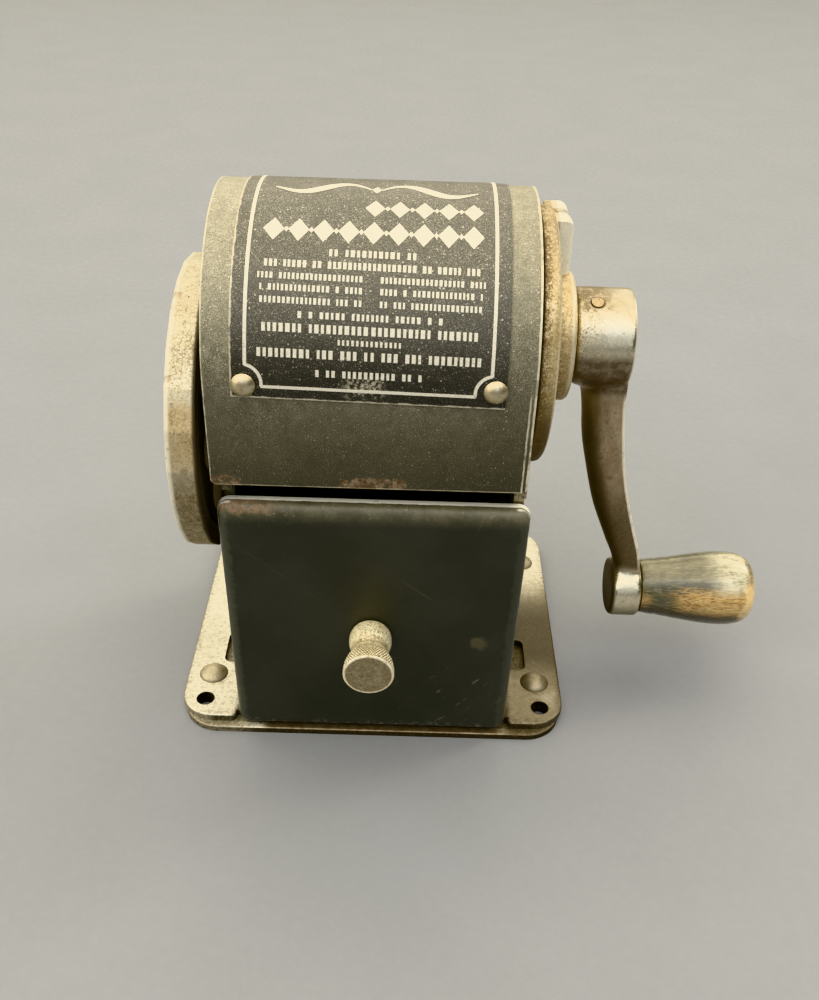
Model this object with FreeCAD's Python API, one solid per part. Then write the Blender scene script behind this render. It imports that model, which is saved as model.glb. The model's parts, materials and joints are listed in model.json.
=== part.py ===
import FreeCAD, Part
import os, math
os.makedirs("parts", exist_ok=True)

# Crank pencil sharpener, table or wall mounted.  Millimetres, +Z up.
# Origin: centre of the four base screw holes, on the underside of the base.
# +X runs along the crank axis from the pencil side to the crank side, -Y is the drawer side.

# ---- driving dimensions -------------------------------------------------------
YA = -9.55            # crank axis, Y
AX = 86.1             # crank axis, height above the table
# base and feet
BASE_HX, BASE_Y0, BASE_Y1, BASE_T, BASE_R = 42.5, -28.25, 47.35, 1.45, 8.0
HOLE_X, HOLE_Y0, HOLE_Y1, HOLE_RAD = 38.1, -21.35, 40.45, 1.9
RIV_X, RIV_Y0, RIV_Y1, RIV_R, RIV_H, RIV_SH = 37.5, -13.2, 32.3, 3.3, 1.7, 1.5
FOOT_TOP, FOOT_HX = 3.15, 43.4
FOOT_Y0, FOOT_Y1 = -26.4, 46.4
# side frames
WALL_I, WALL_O = 27.0, 29.0
WALL_R = 27.2
WALL_FRONT_LOW, WALL_STEP_Z = -24.6, 64.9
# cover
COV_R, COV_T, COV_X0, COV_X1 = 28.5, 1.0, -30.7, 28.8
COV_FRONT_Z, COV_REAR_Z = 67.0, 2.0
# name plate
NP_X0, NP_X1, NP_T, NP_A0, NP_A1 = -25.4, 23.5, 0.45, -1.0, 132.0
PIN_DX, PIN_A0, PIN_A1, PIN_R = 2.1, 4.8, 126.2, 2.2
# drawer
DR_HX0, DR_HX1, DR_Z0, DR_Z1, DR_Y, DR_DEPTH, DR_T = 29.5, 30.5, 2.3, 62.2, -28.4, 3.4, 1.0   # half widths at bottom and top
DR_R, DR_F = 2.7, 2.4                   # corner radius, radius of the rounded front edge
DR_LIP = 2.0
TR_HX, TR_Y1, TR_Z0, TR_Z1, TR_T = 26.4, 20.5, 2.0, 58.0, 0.8
KNOB_X, KNOB_Z = -0.3, 30.7
# size dial
DIAL_Z, DIAL_R, DIAL_N, DIAL_X0, DIAL_X1 = 68.8, 30.2, 24, -38.5, -32.7
DIAL_PCR = AX - DIAL_Z
DIAL_HOLES = [4.0, 4.5, 5.0, 5.6, 2.6, 3.0, 3.3, 3.65]
PIVOT_R = 3.0
# end bell and gears
BELL_R, BELL_X0, BELL_X1 = 25.3, 29.0, 32.8
SPIGOT_R, BOSS_R, BOSS_X1, FIN_X1 = 21.55, 12.8, 37.5, 36.4
XG, SIG = 21.5, math.radians(10.5)      # gear plane and tilt of the cutter axles
A0 = 7.0                                # axle distance from the crank axis in the gear plane
NR, NP = 36, 16                         # teeth on the fixed ring and on each pinion
ADD, DED, BACK = 0.50, 0.72, 0.30       # addendum, dedendum, backlash at the gear plane
# cutters
CUT_X0, CUT_X1, CUT_R, CUT_ROOT, CUT_N, CUT_TWIST = -14.0, 15.3, 7.3, 6.1, 14, 62.0
AXLE_R = 1.5
# crank
SHAFT_R, HUB_R, HUB_X0, HUB_X1 = 4.0, 9.84, 38.0, 49.6
THROW, KB_R, KB_X0, KB_X1 = 63.5, 7.0, 53.85, 60.6
GRIP_X0, GRIP_X1 = 61.0, 87.0

V = FreeCAD.Vector
EX, EY, EZ = V(1, 0, 0), V(0, 1, 0), V(0, 0, 1)


def box(x0, x1, y0, y1, z0, z1):
    return Part.makeBox(x1 - x0, y1 - y0, z1 - z0, V(x0, y0, z0))


def cyl(r, p, d, length):
    return Part.makeCylinder(r, length, V(*p), V(*d))


def cylx(r, x0, x1, y=0.0, z=AX):
    return cyl(r, (x0, y, z), (1, 0, 0), x1 - x0)


def poly_face(pts):
    return Part.Face(Part.makePolygon([V(*p) for p in pts] + [V(*pts[0])]))


def turned(pts, p, d):
    """Solid of revolution: pts are (distance along d, radius) from point p."""
    f = poly_face([(a, r, 0) for a, r in pts])
    s = f.revolve(V(0, 0, 0), EX, 360)
    s.Placement = FreeCAD.Placement(V(*p), FreeCAD.Rotation(EX, V(*d)))
    return s


def turned_smooth(pts, tail, p, d):
    """Revolved solid whose outside follows a smooth curve through pts, closed by the straight tail."""
    c = Part.BSplineCurve()
    c.interpolate([V(a, r, 0) for a, r in pts])
    e = [c.toShape()]
    q = [pts[-1]] + tail + [pts[0]]
    for a, b in zip(q[:-1], q[1:]):
        e.append(Part.makeLine(V(a[0], a[1], 0), V(b[0], b[1], 0)))
    s = Part.Face(Part.Wire(e)).revolve(V(0, 0, 0), EX, 360)
    s.Placement = FreeCAD.Placement(V(*p), FreeCAD.Rotation(EX, V(*d)))
    return s


def dome(r, h, p, d):
    """Spherical cap of base radius r and height h standing on p along d."""
    big = (r * r + h * h) / (2 * h)
    a0 = math.asin(r / big)
    pts = [(0, 0), (0, r)]
    for i in range(1, 13):
        a = a0 * (1 - i / 12.0)
        pts.append((big * math.cos(a) - (big - h), big * math.sin(a)))
    pts[-1] = (h, 0)
    e = [Part.makeLine(V(0, 0, 0), V(0, r, 0))]
    am = a0 / 2
    e.append(Part.Arc(V(0, r, 0), V(big * math.cos(am) - (big - h), big * math.sin(am), 0), V(h, 0, 0)).toShape())
    e.append(Part.makeLine(V(h, 0, 0), V(0, 0, 0)))
    s = Part.Face(Part.Wire(e)).revolve(V(0, 0, 0), EX, 360)
    s.Placement = FreeCAD.Placement(V(*p), FreeCAD.Rotation(EX, V(*d)))
    return s


def slotted(r, h, sr, sl, p, d, turn=0.0, slot=0.8):
    """Round-head slotted screw: head base on p, head along d, shank the other way."""
    s = dome(r, h, (0, 0, 0), (1, 0, 0)).fuse(cyl(sr, (-sl, 0, 0), (1, 0, 0), sl + 0.2)).removeSplitter()
    cut = box(h * 0.45, h + 1, -r - 1, r + 1, -slot / 2, slot / 2)
    cut.rotate(V(0, 0, 0), EX, turn)
    s = s.cut(cut)
    s.Placement = FreeCAD.Placement(V(*p), FreeCAD.Rotation(EX, V(*d)))
    return s


def hexnut(af, t, bore, p, d):
    """Hexagonal nut standing on p along d."""
    rr = af / math.sqrt(3)
    f = poly_face([(0, rr * math.cos(math.radians(60 * i)), rr * math.sin(math.radians(60 * i))) for i in range(6)])
    s = f.extrude(V(t, 0, 0)).cut(cyl(bore, (-1, 0, 0), (1, 0, 0), t + 2))
    s.Placement = FreeCAD.Placement(V(*p), FreeCAD.Rotation(EX, V(*d)))
    return s


def fillet(s, r, pick):
    e = [x for x in s.Edges if pick(x)]
    return s.makeFillet(r, e) if e else s


def near(a, b, tol=1e-3):
    return abs(a - b) < tol


def along(e, axis):
    if len(e.Vertexes) != 2 or not isinstance(e.Curve, (Part.Line, Part.LineSegment)):
        return False
    d = e.Vertexes[1].Point - e.Vertexes[0].Point
    return abs(abs(d.normalize().dot(axis)) - 1) < 1e-6


def mid(e):
    return e.CenterOfMass


PARTS = {}


def keep(name, shape):
    """Record a node: one solid, or a group of separate solids."""
    PARTS[name] = shape


# ---- base plate ---------------------------------------------------------------
base = box(-BASE_HX, BASE_HX, BASE_Y0, BASE_Y1, 0, BASE_T)
base = fillet(base, BASE_R, lambda e: along(e, EZ))
base = fillet(base, 0.4, lambda e: near(e.BoundBox.ZMin, BASE_T) and near(e.BoundBox.ZMax, BASE_T))
for sx in (-1, 1):
    for y in (HOLE_Y0, HOLE_Y1):
        base = base.cut(cyl(HOLE_RAD, (sx * HOLE_X, y, -1), (0, 0, 1), 5))
    for y in (RIV_Y0, RIV_Y1):
        base = base.cut(cyl(RIV_SH, (sx * RIV_X, y, -1), (0, 0, 1), 5))
keep("base_plate", base)


# ---- side frames: wall with an out-turned foot ---------------------------------
TIE = [(24.0, 24.0), (24.0, 52.0)]
TABS = [(9.0, 17.0), (66.0, 74.0)]


def side_frame(sx):
    f, zb = FOOT_TOP, BASE_T
    pts = [(WALL_FRONT_LOW, zb), (WALL_R, zb), (WALL_R, AX)]
    e = [Part.makeLine(V(0, *pts[0]), V(0, *pts[1])), Part.makeLine(V(0, *pts[1]), V(0, *pts[2]))]
    e.append(Part.Arc(V(0, WALL_R, AX), V(0, 0, AX + WALL_R), V(0, -WALL_R, AX)).toShape())
    e.append(Part.makeLine(V(0, -WALL_R, AX), V(0, -WALL_R, WALL_STEP_Z)))
    e.append(Part.makeLine(V(0, -WALL_R, WALL_STEP_Z), V(0, WALL_FRONT_LOW, WALL_STEP_Z)))
    e.append(Part.makeLine(V(0, WALL_FRONT_LOW, WALL_STEP_Z), V(0, WALL_FRONT_LOW, zb)))
    wall = Part.Face(Part.Wire(e)).extrude(V(WALL_O - WALL_I, 0, 0))
    wall.translate(V(WALL_I, 0, 0))
    foot = box(30.5, FOOT_HX, FOOT_Y0, FOOT_Y1, zb, f)
    foot = fillet(foot, BASE_R - 0.5, lambda x: along(x, EZ) and mid(x).x > 40)
    foot = fillet(foot, 1.2, lambda x: along(x, EZ) and mid(x).x < 31 and mid(x).y < 0)
    foot = fillet(foot, 0.5, lambda x: near(x.BoundBox.ZMin, f) and near(x.BoundBox.ZMax, f) and mid(x).x > 30.6)
    s = wall.fuse(box(WALL_I, 31.0, WALL_FRONT_LOW, WALL_R, zb, f)).removeSplitter()
    s = s.fuse(foot).removeSplitter()
    # lanced slot in the foot beside the wall
    s = s.cut(fillet(box(31.4, 35.8, -9.3, 1.2, zb - 1, f + 1), 1.7, lambda x: along(x, EZ)))
    for y in (HOLE_Y0, HOLE_Y1):
        s = s.cut(cyl(HOLE_RAD, (HOLE_X, y, 0), (0, 0, 1), 6))
    for y in (RIV_Y0, RIV_Y1):
        s = s.cut(cyl(RIV_SH, (RIV_X, y, 0), (0, 0, 1), 6))
    for y, z in TIE:
        s = s.cut(cylx(1.4, 20, 35, y, z))
    # inward rear tabs that take the cover screws
    for z0, z1 in TABS:
        s = s.fuse(box(17.5, WALL_I + 0.5, 25.4, WALL_R, z0, z1)).removeSplitter()
        s = s.cut(cyl(1.3, (22.0, 20, (z0 + z1) / 2), (0, 1, 0), 12))
    # concave bend between wall and foot
    try:
        s = fillet(s, 1.0, lambda x: along(x, EY) and near(mid(x).x, WALL_O, 0.01) and near(mid(x).z, f, 0.01) and x.Length > 40)
    except Exception:
        pass
    if sx > 0:
        s = s.cut(cylx(SPIGOT_R + 0.05, 20, 35))
        for a in BELL_SCREWS:
            s = s.cut(cylx(1.2, 20, 35, 23.3 * math.cos(a), AX + 23.3 * math.sin(a)))
    else:
        s = s.mirror(V(0, 0, 0), EX)
        s = s.cut(cylx(8.0, -35, -20))
        s = s.cut(cylx(2.2, -35, -20, 0, DIAL_Z))
        s = s.cut(cylx(1.0, -35, -20, *DET_SCREW))
    return s


BELL_SCREWS = [math.radians(25), math.radians(-52)]
DET_SCREW = (-13.0, 51.5)
left = side_frame(-1)
right = side_frame(1)
keep("left_side_frame", left)
keep("right_side_frame", right)

rivets = []
for sx in (-1, 1):
    for y in (RIV_Y0, RIV_Y1):
        d = dome(RIV_R, RIV_H, (sx * RIV_X, y, FOOT_TOP), (0, 0, 1))
        rivets.append(d.fuse(cyl(RIV_SH, (sx * RIV_X, y, 0.2), (0, 0, 1), FOOT_TOP - 0.1)).removeSplitter())
keep("foot_rivets", Part.makeCompound(rivets))

ties = []
for y, z in TIE:
    ties.append(cylx(2.2, -WALL_I, WALL_I, y, z).fuse(cylx(1.4, -WALL_O, WALL_O, y, z)).removeSplitter())
keep("frame_tie_rods", Part.makeCompound(ties))


# ---- cover: half round sheet shell over the frames, down the back ----------------
def cover_profile(r, zf, zr):
    e = [Part.makeLine(V(0, -r, zf), V(0, -r, AX)),
         Part.Arc(V(0, -r, AX), V(0, 0, AX + r), V(0, r, AX)).toShape(),
         Part.makeLine(V(0, r, AX), V(0, r, zr))]
    return e


ri = COV_R - COV_T
e = cover_profile(COV_R, COV_FRONT_Z, COV_REAR_Z)
e.append(Part.makeLine(V(0, COV_R, COV_REAR_Z), V(0, ri, COV_REAR_Z)))
e += cover_profile(ri, COV_FRONT_Z, COV_REAR_Z)
e.append(Part.makeLine(V(0, -ri, COV_FRONT_Z), V(0, -COV_R, COV_FRONT_Z)))
cover = Part.Face(Part.Wire(Part.__sortEdges__(e))).extrude(V(COV_X1 - COV_X0, 0, 0))
cover.translate(V(COV_X0, 0, 0))
cover = fillet(cover, 1.2, lambda x: along(x, EY) and near(mid(x).z, COV_FRONT_Z))
# the rear skirt is narrowed below so that it stands between the feet
cover = cover.cut(box(COV_X0 - 1, -WALL_O - 0.2, 20, 40, 0, 5.5)).cut(box(WALL_O + 0.2, COV_X1 + 1, 20, 40, 0, 5.5))
PINS = []
for x in (NP_X0 + PIN_DX, NP_X1 - PIN_DX):
    for a in (PIN_A0, PIN_A1):
        t = math.radians(a)
        PINS.append((x, -math.cos(t), math.sin(t)))
for x, cy, cz in PINS:
    cover = cover.cut(cyl(0.8, (x, 25 * cy, AX + 25 * cz), (0, cy, cz), 6))
COVER_SCREWS = [(sx * 22.0, (z0 + z1) / 2) for sx in (-1, 1) for z0, z1 in TABS]
for x, z in COVER_SCREWS:
    cover = cover.cut(cyl(1.4, (x, 20, z), (0, 1, 0), 12))
keep("top_cover", cover)
keep("cover_screws", Part.makeCompound([slotted(2.6, 1.6, 1.3, 4.6, (x, COV_R, z), (0, 1, 0), 25 + 40 * i)
                                        for i, (x, z) in enumerate(COVER_SCREWS)]))

# ---- name plate and its drive pins -----------------------------------------------
np_out = Part.makeCylinder(COV_R + NP_T, NP_X1 - NP_X0, V(NP_X0, 0, AX), EX, NP_A1 - NP_A0)
np_in = cylx(COV_R + 0.01, NP_X0 - 1, NP_X1 + 1)
plate = np_out.cut(np_in).Solids[0]
# turn it so that its lower edge lies NP_A0 degrees above the front tangent line
c = plate.CenterOfMass
now = math.degrees(math.atan2(c.z - AX, c.y))
want = 180 - (NP_A0 + NP_A1) / 2
plate.rotate(V(0, 0, AX), EX, want - now)
for x, cy, cz in PINS:
    plate = plate.cut(cyl(0.8, (x, 25 * cy, AX + 25 * cz), (0, cy, cz), 6))
keep("name_plate", plate)
pins = []
for x, cy, cz in PINS:
    r0 = COV_R + NP_T + 0.05
    p = (x, r0 * cy, AX + r0 * cz)
    pins.append(dome(PIN_R, 1.2, p, (0, cy, cz)).fuse(cyl(0.8, (x, 26.9 * cy, AX + 26.9 * cz), (0, cy, cz), r0 - 26.9 + 0.1)).removeSplitter())
keep("name_plate_pins", Part.makeCompound(pins))

# ---- drawer -----------------------------------------------------------------------
# pressed front: a shallow pan, a little wider at the top
def pan_block(t, y0, y1):
    a, b = DR_HX0 - t, DR_HX1 - t
    return poly_face([(-a, y0, DR_Z0 + t), (a, y0, DR_Z0 + t), (b, y0, DR_Z1 - t), (-b, y0, DR_Z1 - t)]).extrude(V(0, y1 - y0, 0))


pan = pan_block(0.0, DR_Y, DR_Y + DR_DEPTH)
pan = fillet(pan, DR_R, lambda x: along(x, EY))
pan = fillet(pan, DR_F, lambda x: near(x.BoundBox.YMin, DR_Y) and near(x.BoundBox.YMax, DR_Y))
hol = pan_block(DR_T, DR_Y + DR_T, DR_Y + 9)
hol = fillet(hol, DR_R - DR_T, lambda x: along(x, EY))
hol = fillet(hol, DR_F - DR_T, lambda x: near(x.BoundBox.YMin, DR_Y + DR_T) and near(x.BoundBox.YMax, DR_Y + DR_T))
pan = pan.cut(hol).cut(cyl(1.5, (KNOB_X, -35, KNOB_Z), (0, 1, 0), 20))
keep("drawer_front", pan)
ty0 = DR_Y + DR_T
tray = box(-TR_HX, TR_HX, ty0, TR_Y1, TR_Z0, TR_Z1)
tray = fillet(tray, 1.5, lambda x: along(x, EY) and mid(x).z < 5)
# the lower front edge of the tray stands clear of the pan's rounded corner
inn = box(-TR_HX + TR_T, TR_HX - TR_T, ty0 + TR_T, TR_Y1 - TR_T, TR_Z0 + TR_T, TR_Z1 + 5)
inn = fillet(inn, 0.9, lambda x: along(x, EY) and mid(x).z < 5)
tray = tray.cut(inn)
tray = tray.cut(box(-40, 40, ty0 - 1, DR_Y + DR_DEPTH + 0.4, 0, DR_Z0 + DR_T + DR_LIP))
tray = tray.cut(cyl(1.5, (KNOB_X, -35, KNOB_Z), (0, 1, 0), 12))
front_sill = box(-TR_HX + 0.5, TR_HX - 0.5, DR_Y + DR_DEPTH + 0.4, DR_Y + DR_DEPTH + 0.4 + TR_T, TR_Z0 + 0.3, DR_Z0 + DR_T + DR_LIP + TR_T)
front_shelf = box(-TR_HX + 0.5, TR_HX - 0.5, ty0, DR_Y + DR_DEPTH + 0.4 + TR_T, DR_Z0 + DR_T + DR_LIP, DR_Z0 + DR_T + DR_LIP + TR_T)
tray = tray.fuse(front_sill).fuse(front_shelf).removeSplitter()
keep("drawer_tray", tray)
kp = [(0.0, 3.3), (0.5, 3.95), (1.4, 4.32), (2.6, 4.42), (3.9, 4.25), (5.0, 3.88), (5.9, 3.66), (6.8, 3.85), (8.2, 4.5), (9.6, 5.0), (10.9, 5.2)]
knob = turned_smooth(kp, [(12.05, 5.2), (12.4, 4.85), (12.4, 0), (0, 0)], (KNOB_X, DR_Y, KNOB_Z), (0, -1, 0))
knob = knob.fuse(cyl(1.5, (KNOB_X, DR_Y - 1, KNOB_Z), (0, 1, 0), 6.6)).removeSplitter()
keep("drawer_knob", knob)
keep("drawer_knob_nut", hexnut(5.5, 2.2, 1.5, (KNOB_X, ty0 + TR_T, KNOB_Z), (0, 1, 0)))

# ---- size dial ----------------------------------------------------------------------
pts = []
for i in range(DIAL_N):
    a = math.radians(12 + 360.0 / DIAL_N * i)
    pts.append((DIAL_X0, DIAL_R * math.cos(a), DIAL_Z + DIAL_R * math.sin(a)))
dial = poly_face(pts).extrude(V(DIAL_X1 - DIAL_X0, 0, 0))
dial = fillet(dial, 0.8, lambda x: near(x.BoundBox.XMin, DIAL_X0) and near(x.BoundBox.XMax, DIAL_X0))
dial = dial.fuse(cylx(7.0, DIAL_X1 - 0.5, -29.75, 0, DIAL_Z)).removeSplitter()
# shallow lightening recess in the back, inside the rim
rec = cylx(26.0, DIAL_X1 - 0.9, DIAL_X1 + 0.1, 0, DIAL_Z).cut(cylx(24.9, DIAL_X1 - 2, DIAL_X1 + 1, 0, DIAL_Z))
dial = dial.cut(rec)
dial = dial.cut(cylx(PIVOT_R + 0.05, DIAL_X0 - 1, -20, 0, DIAL_Z))
dial = dial.cut(cylx(5.6, DIAL_X0 - 1, DIAL_X0 + 2.4, 0, DIAL_Z))
for i, r in enumerate(DIAL_HOLES):
    a = math.radians(90 + 45 * i)
    y, z = DIAL_PCR * math.cos(a), DIAL_Z + DIAL_PCR * math.sin(a)
    dial = dial.cut(cylx(r, DIAL_X0 - 1, DIAL_X1 + 1, y, z))
    dial = dial.cut(Part.makeCone(r + 0.6, r, 0.6, V(DIAL_X0, y, z), EX))
keep("size_dial", dial)
pv = [(-38.35, 0), (-38.35, 4.9), (-37.95, 5.3), (-36.2, 5.3), (-36.2, PIVOT_R), (-29.0, PIVOT_R), (-29.0, 2.2), (-24.0, 2.2), (-23.6, 1.8), (-23.6, 0)]
pivot = turned(pv, (0, 0, DIAL_Z), (1, 0, 0))
pivot = pivot.cut(box(-39, -37.5, -6, 6, DIAL_Z - 0.5, DIAL_Z + 0.5))
keep("dial_pivot_screw", pivot)
keep("dial_pivot_nut", hexnut(7.0, 2.6, 2.2, (-WALL_I, 0, DIAL_Z), (1, 0, 0)))
keep("dial_washer", cylx(6.2, -29.6, -29.0, 0, DIAL_Z).cut(cylx(PIVOT_R, -31, -28, 0, DIAL_Z)))
# detent leaf spring: screwed to the left frame, rising to a rounded nib behind the dial
lp0, lp1 = V(0, DET_SCREW[0], DET_SCREW[1]), V(0, -20.0, 80.6)
ld = (lp1 - lp0)
ll = ld.Length
ld.normalize()
ln = V(0, -ld.z, ld.y)
seg = [(-3.2, -29.0), (6.0, -29.0), (ll - 3.5, -31.2), (ll + 2.2, -31.35)]


def leaf_pt(s, x, w):
    q = lp0 + ld * s + ln * w
    return V(x, q.y, q.z)


poly = [(s, x) for s, x in seg] + [(s, x - 0.5) for s, x in reversed(seg)]
w = Part.makePolygon([leaf_pt(s, x, -2.4) for s, x in poly] + [leaf_pt(poly[0][0], poly[0][1], -2.4)])
leaf = Part.Face(w).extrude(ln * 4.8)
nib = Part.makeSphere(1.5, leaf_pt(ll, -30.85, 0))
leaf = leaf.fuse(nib.common(box(-33, -31.3, -40, 40, 0, 120))).removeSplitter()
leaf = leaf.cut(cylx(1.0, -35, -20, *DET_SCREW))
keep("dial_detent_spring", leaf)
keep("detent_screw", slotted(1.9, 1.2, 1.0, 3.0, (-29.5, *DET_SCREW), (-1, 0, 0), 30, 0.6))

guide = turned([(-31.6, 6.2), (-31.6, 7.4), (-31.0, 8.0), (-WALL_I, 8.0), (-WALL_I, 10.2), (-25.6, 10.2), (-25.0, 9.6), (-22.0, 8.4), (-22.0, 6.2)], (0, 0, AX), (1, 0, 0))
keep("pencil_guide", guide)

# ---- end bell, bearing bush and ring gear ------------------------------------------
bell = turned([(18.3, 15.5), (18.3, 17.6), (26.0, 17.6), (26.0, SPIGOT_R - 0.4), (26.4, SPIGOT_R), (BELL_X0, SPIGOT_R), (BELL_X0, BELL_R - 0.3), (BELL_X0 + 0.3, BELL_R),
               (BELL_X1, BELL_R), (BELL_X1, BOSS_R), (BOSS_X1, BOSS_R),
               (BOSS_X1, 6.0), (30.0, 6.0), (30.0, 12.4), (24.6, 12.4), (24.6, 15.5)], (0, 0, AX), (1, 0, 0))
# rounded outer edges of the rim and of the boss
for bx, br, rr in ((BELL_X1, BELL_R, 1.7), (BOSS_X1, BOSS_R, 0.9)):
    bell = fillet(bell, rr, lambda x: near(x.BoundBox.XMin, bx) and near(x.BoundBox.XMax, bx) and near(x.BoundBox.ZMax, AX + br, 0.01))
# rounded thumb fin and a rounded lug behind it, for twisting the bell out of the frame
fin = box(31.0, FIN_X1, -0.9, 3.9, AX + 9.5, AX + 23.8)
fin = fillet(fin, 2.2, lambda x: near(x.BoundBox.XMin, FIN_X1) and near(x.BoundBox.XMax, FIN_X1) and x.BoundBox.ZMax > AX + 10)
lug = box(31.0, FIN_X1 - 0.7, 4.3, 8.5, AX + 15.0, AX + 24.5)
lug = fillet(lug, 1.8, lambda x: near(x.BoundBox.XMin, FIN_X1 - 0.7) and near(x.BoundBox.XMax, FIN_X1 - 0.7) and x.BoundBox.ZMax > AX + 16)
bell = bell.fuse(fin).fuse(lug).removeSplitter()
for a in BELL_SCREWS:
    bell = bell.cut(cylx(1.25, 20, 40, 23.3 * math.cos(a), AX + 23.3 * math.sin(a)))
keep("end_bell", bell)
keep("end_bell_screws", Part.makeCompound([slotted(1.9, 1.5, 1.2, 5.4, (BELL_X1, 23.3 * math.cos(a), AX + 23.3 * math.sin(a)), (1, 0, 0), 20 + 50 * i)
                                           for i, a in enumerate(BELL_SCREWS)]))
keep("bearing_bush", turned([(29.45, SHAFT_R + 0.05), (29.45, 7.6), (30.0, 7.6), (30.0, 6.0), (BOSS_X1, 6.0), (BOSS_X1, SHAFT_R + 0.05)], (0, 0, AX), (1, 0, 0)))

XO = XG + A0 / math.tan(SIG)              # where the cutter axles would cross the crank axis
D0 = XO - XG
GAM = math.atan(math.sin(SIG) / (NR / float(NP) - math.cos(SIG)))
RPITCH = D0 * math.tan(GAM + SIG)
CONE = math.hypot(D0, RPITCH)
PPITCH, T0 = CONE * math.sin(GAM), CONE * math.cos(GAM)
PITCH = 2 * math.pi * RPITCH / NR
TANP = math.tan(math.radians(20))


def ring_outline(s):
    """Outline of the toothed hole at scale s, a space centred on angle 0."""
    out = []
    for k in range(NR):
        a0 = 2 * math.pi * k / NR
        for dr, sgn in ((-ADD, -1), (DED, -1), (DED, 1), (-ADD, 1)):
            half = (PITCH / 2 + BACK / 2) / 2 - TANP * dr
            r = RPITCH + dr
            a = a0 + sgn * half / r
            out.append(V(XO - s * D0, s * r * math.cos(a), AX + s * r * math.sin(a)))
    return Part.makePolygon(out + [out[0]])


def pinion_outline(s, phase):
    """Pinion outline at scale s, a tooth centred on the given angle (axle along local X, apex at 0)."""
    out = []
    for k in range(NP):
        a0 = phase + 2 * math.pi * k / NP
        for dr, sgn in ((-DED, -1), (ADD, -1), (ADD, 1), (-DED, 1)):
            half = (PITCH / 2 - BACK / 2) / 2 - TANP * dr
            r = PPITCH + dr
            a = a0 + sgn * half / r
            out.append(V(-s * T0, s * r * math.cos(a), s * r * math.sin(a)))
    return Part.makePolygon(out + [out[0]])


RG0, RG1 = 19.0, 24.0
hole = Part.makeLoft([ring_outline((XO - RG0 + 0.6) / D0), ring_outline((XO - RG1 - 0.6) / D0)], True, True)
ring = cylx(15.5, RG0, RG1).cut(hole)
keep("ring_gear", ring)


# ---- twin cutters on tilted axles ----------------------------------------------------
def tilt(s, up):
    """Local axle frame (apex at origin, axle along X) to the sharpener frame."""
    s = s.copy()
    s.translate(V(XO, 0, AX))
    s.rotate(V(XO, 0, AX), EY, math.degrees(SIG) * up)
    return s


def t_of(x):
    return (XO - x) / math.cos(SIG)


def cutter(up, hand):
    wires = []
    n = 9
    for k in range(n):
        f = k / (n - 1.0)
        xl = -t_of(CUT_X0) + f * (t_of(CUT_X0) - t_of(CUT_X1))
        ph = math.radians(CUT_TWIST * f * hand)
        out = []
        for i in range(CUT_N):
            a = ph + 2 * math.pi * i / CUT_N
            da = 2 * math.pi / CUT_N
            out.append(V(xl, CUT_R * math.cos(a), CUT_R * math.sin(a)))
            out.append(V(xl, CUT_ROOT * math.cos(a + 0.22 * da * hand), CUT_ROOT * math.sin(a + 0.22 * da * hand)))
        if hand < 0:
            out = list(reversed(out))
        wires.append(Part.makePolygon(out + [out[0]]))
    s = Part.makeLoft(wires, True, True)
    s = s.cut(cyl(AXLE_R + 0.05, (-90, 0, 0), (1, 0, 0), 90))
    return tilt(s, up)


keep("cutter_a", cutter(1, 1))
keep("cutter_b", cutter(-1, 1))


def pinion(up):
    ph = math.pi / 2 * up
    s0, s1 = (T0 + 2.2) / T0, (T0 - 2.2) / T0
    g = Part.makeLoft([pinion_outline(s0, ph), pinion_outline(s1, ph)], True, True)
    g = g.fuse(cyl(4.0, (-t_of(CUT_X1), 0, 0), (1, 0, 0), t_of(CUT_X1) - T0)).removeSplitter()
    g = g.cut(cyl(AXLE_R + 0.05, (-90, 0, 0), (1, 0, 0), 90))
    return tilt(g, up)


keep("pinion_a", pinion(1))
keep("pinion_b", pinion(-1))

AX_X0, AX_X1 = -20.6, 28.0
axles = []
for up in (1, -1):
    axles.append(tilt(cyl(AXLE_R, (-t_of(AX_X0), 0, 0), (1, 0, 0), t_of(AX_X0) - t_of(AX_X1)), up))
keep("cutter_axles", Part.makeCompound(axles))

# ---- cutter carrier ------------------------------------------------------------------
CAR_X0, CAR_X1, CAR_X2, CAR_X3 = -21.4, -16.6, 25.6, 29.2
car = turned([(CAR_X0, 6.4), (CAR_X0, 18.4), (CAR_X0 + 0.6, 19.0), (CAR_X1 - 0.6, 19.0), (CAR_X1, 18.4), (CAR_X1, 6.4)], (0, 0, AX), (1, 0, 0))
car = car.fuse(cylx(10.9, CAR_X2, CAR_X3))
for sy in (-1, 1):
    y0, y1 = (7.0, 14.0) if sy > 0 else (-14.0, -7.0)
    car = car.fuse(box(CAR_X1 - 0.5, CAR_X2 + 0.5, y0, y1, AX - 3.1, AX + 3.1).common(cylx(10.9, -30, 40)))
car = car.removeSplitter()
car = car.cut(cylx(3.0, CAR_X2 + 0.6, CAR_X3 + 1))
for a in axles:
    car = car.cut(a)
LOCKS = []
for up in (1, -1):
    x = (CAR_X0 + CAR_X1) / 2
    rho = A0 + (XG - x) * math.tan(SIG)
    LOCKS.append((x, up, rho))
    car = car.cut(cyl(1.1, (x, 0, AX + up * (rho + AXLE_R + 0.35)), (0, 0, up), 8))
keep("cutter_carrier", car)
locks = []
for x, up, rho in LOCKS:
    sc = cyl(1.1, (x, 0, AX + up * (rho + AXLE_R + 0.35)), (0, 0, up), 19.0 - rho - AXLE_R - 0.3 - 0.35)
    sc = sc.cut(box(x - 0.25, x + 0.25, -3, 3, *sorted((AX + up * 18.2, AX + up * 19.5))))
    locks.append(sc)
keep("axle_lock_screws", Part.makeCompound(locks))

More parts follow.
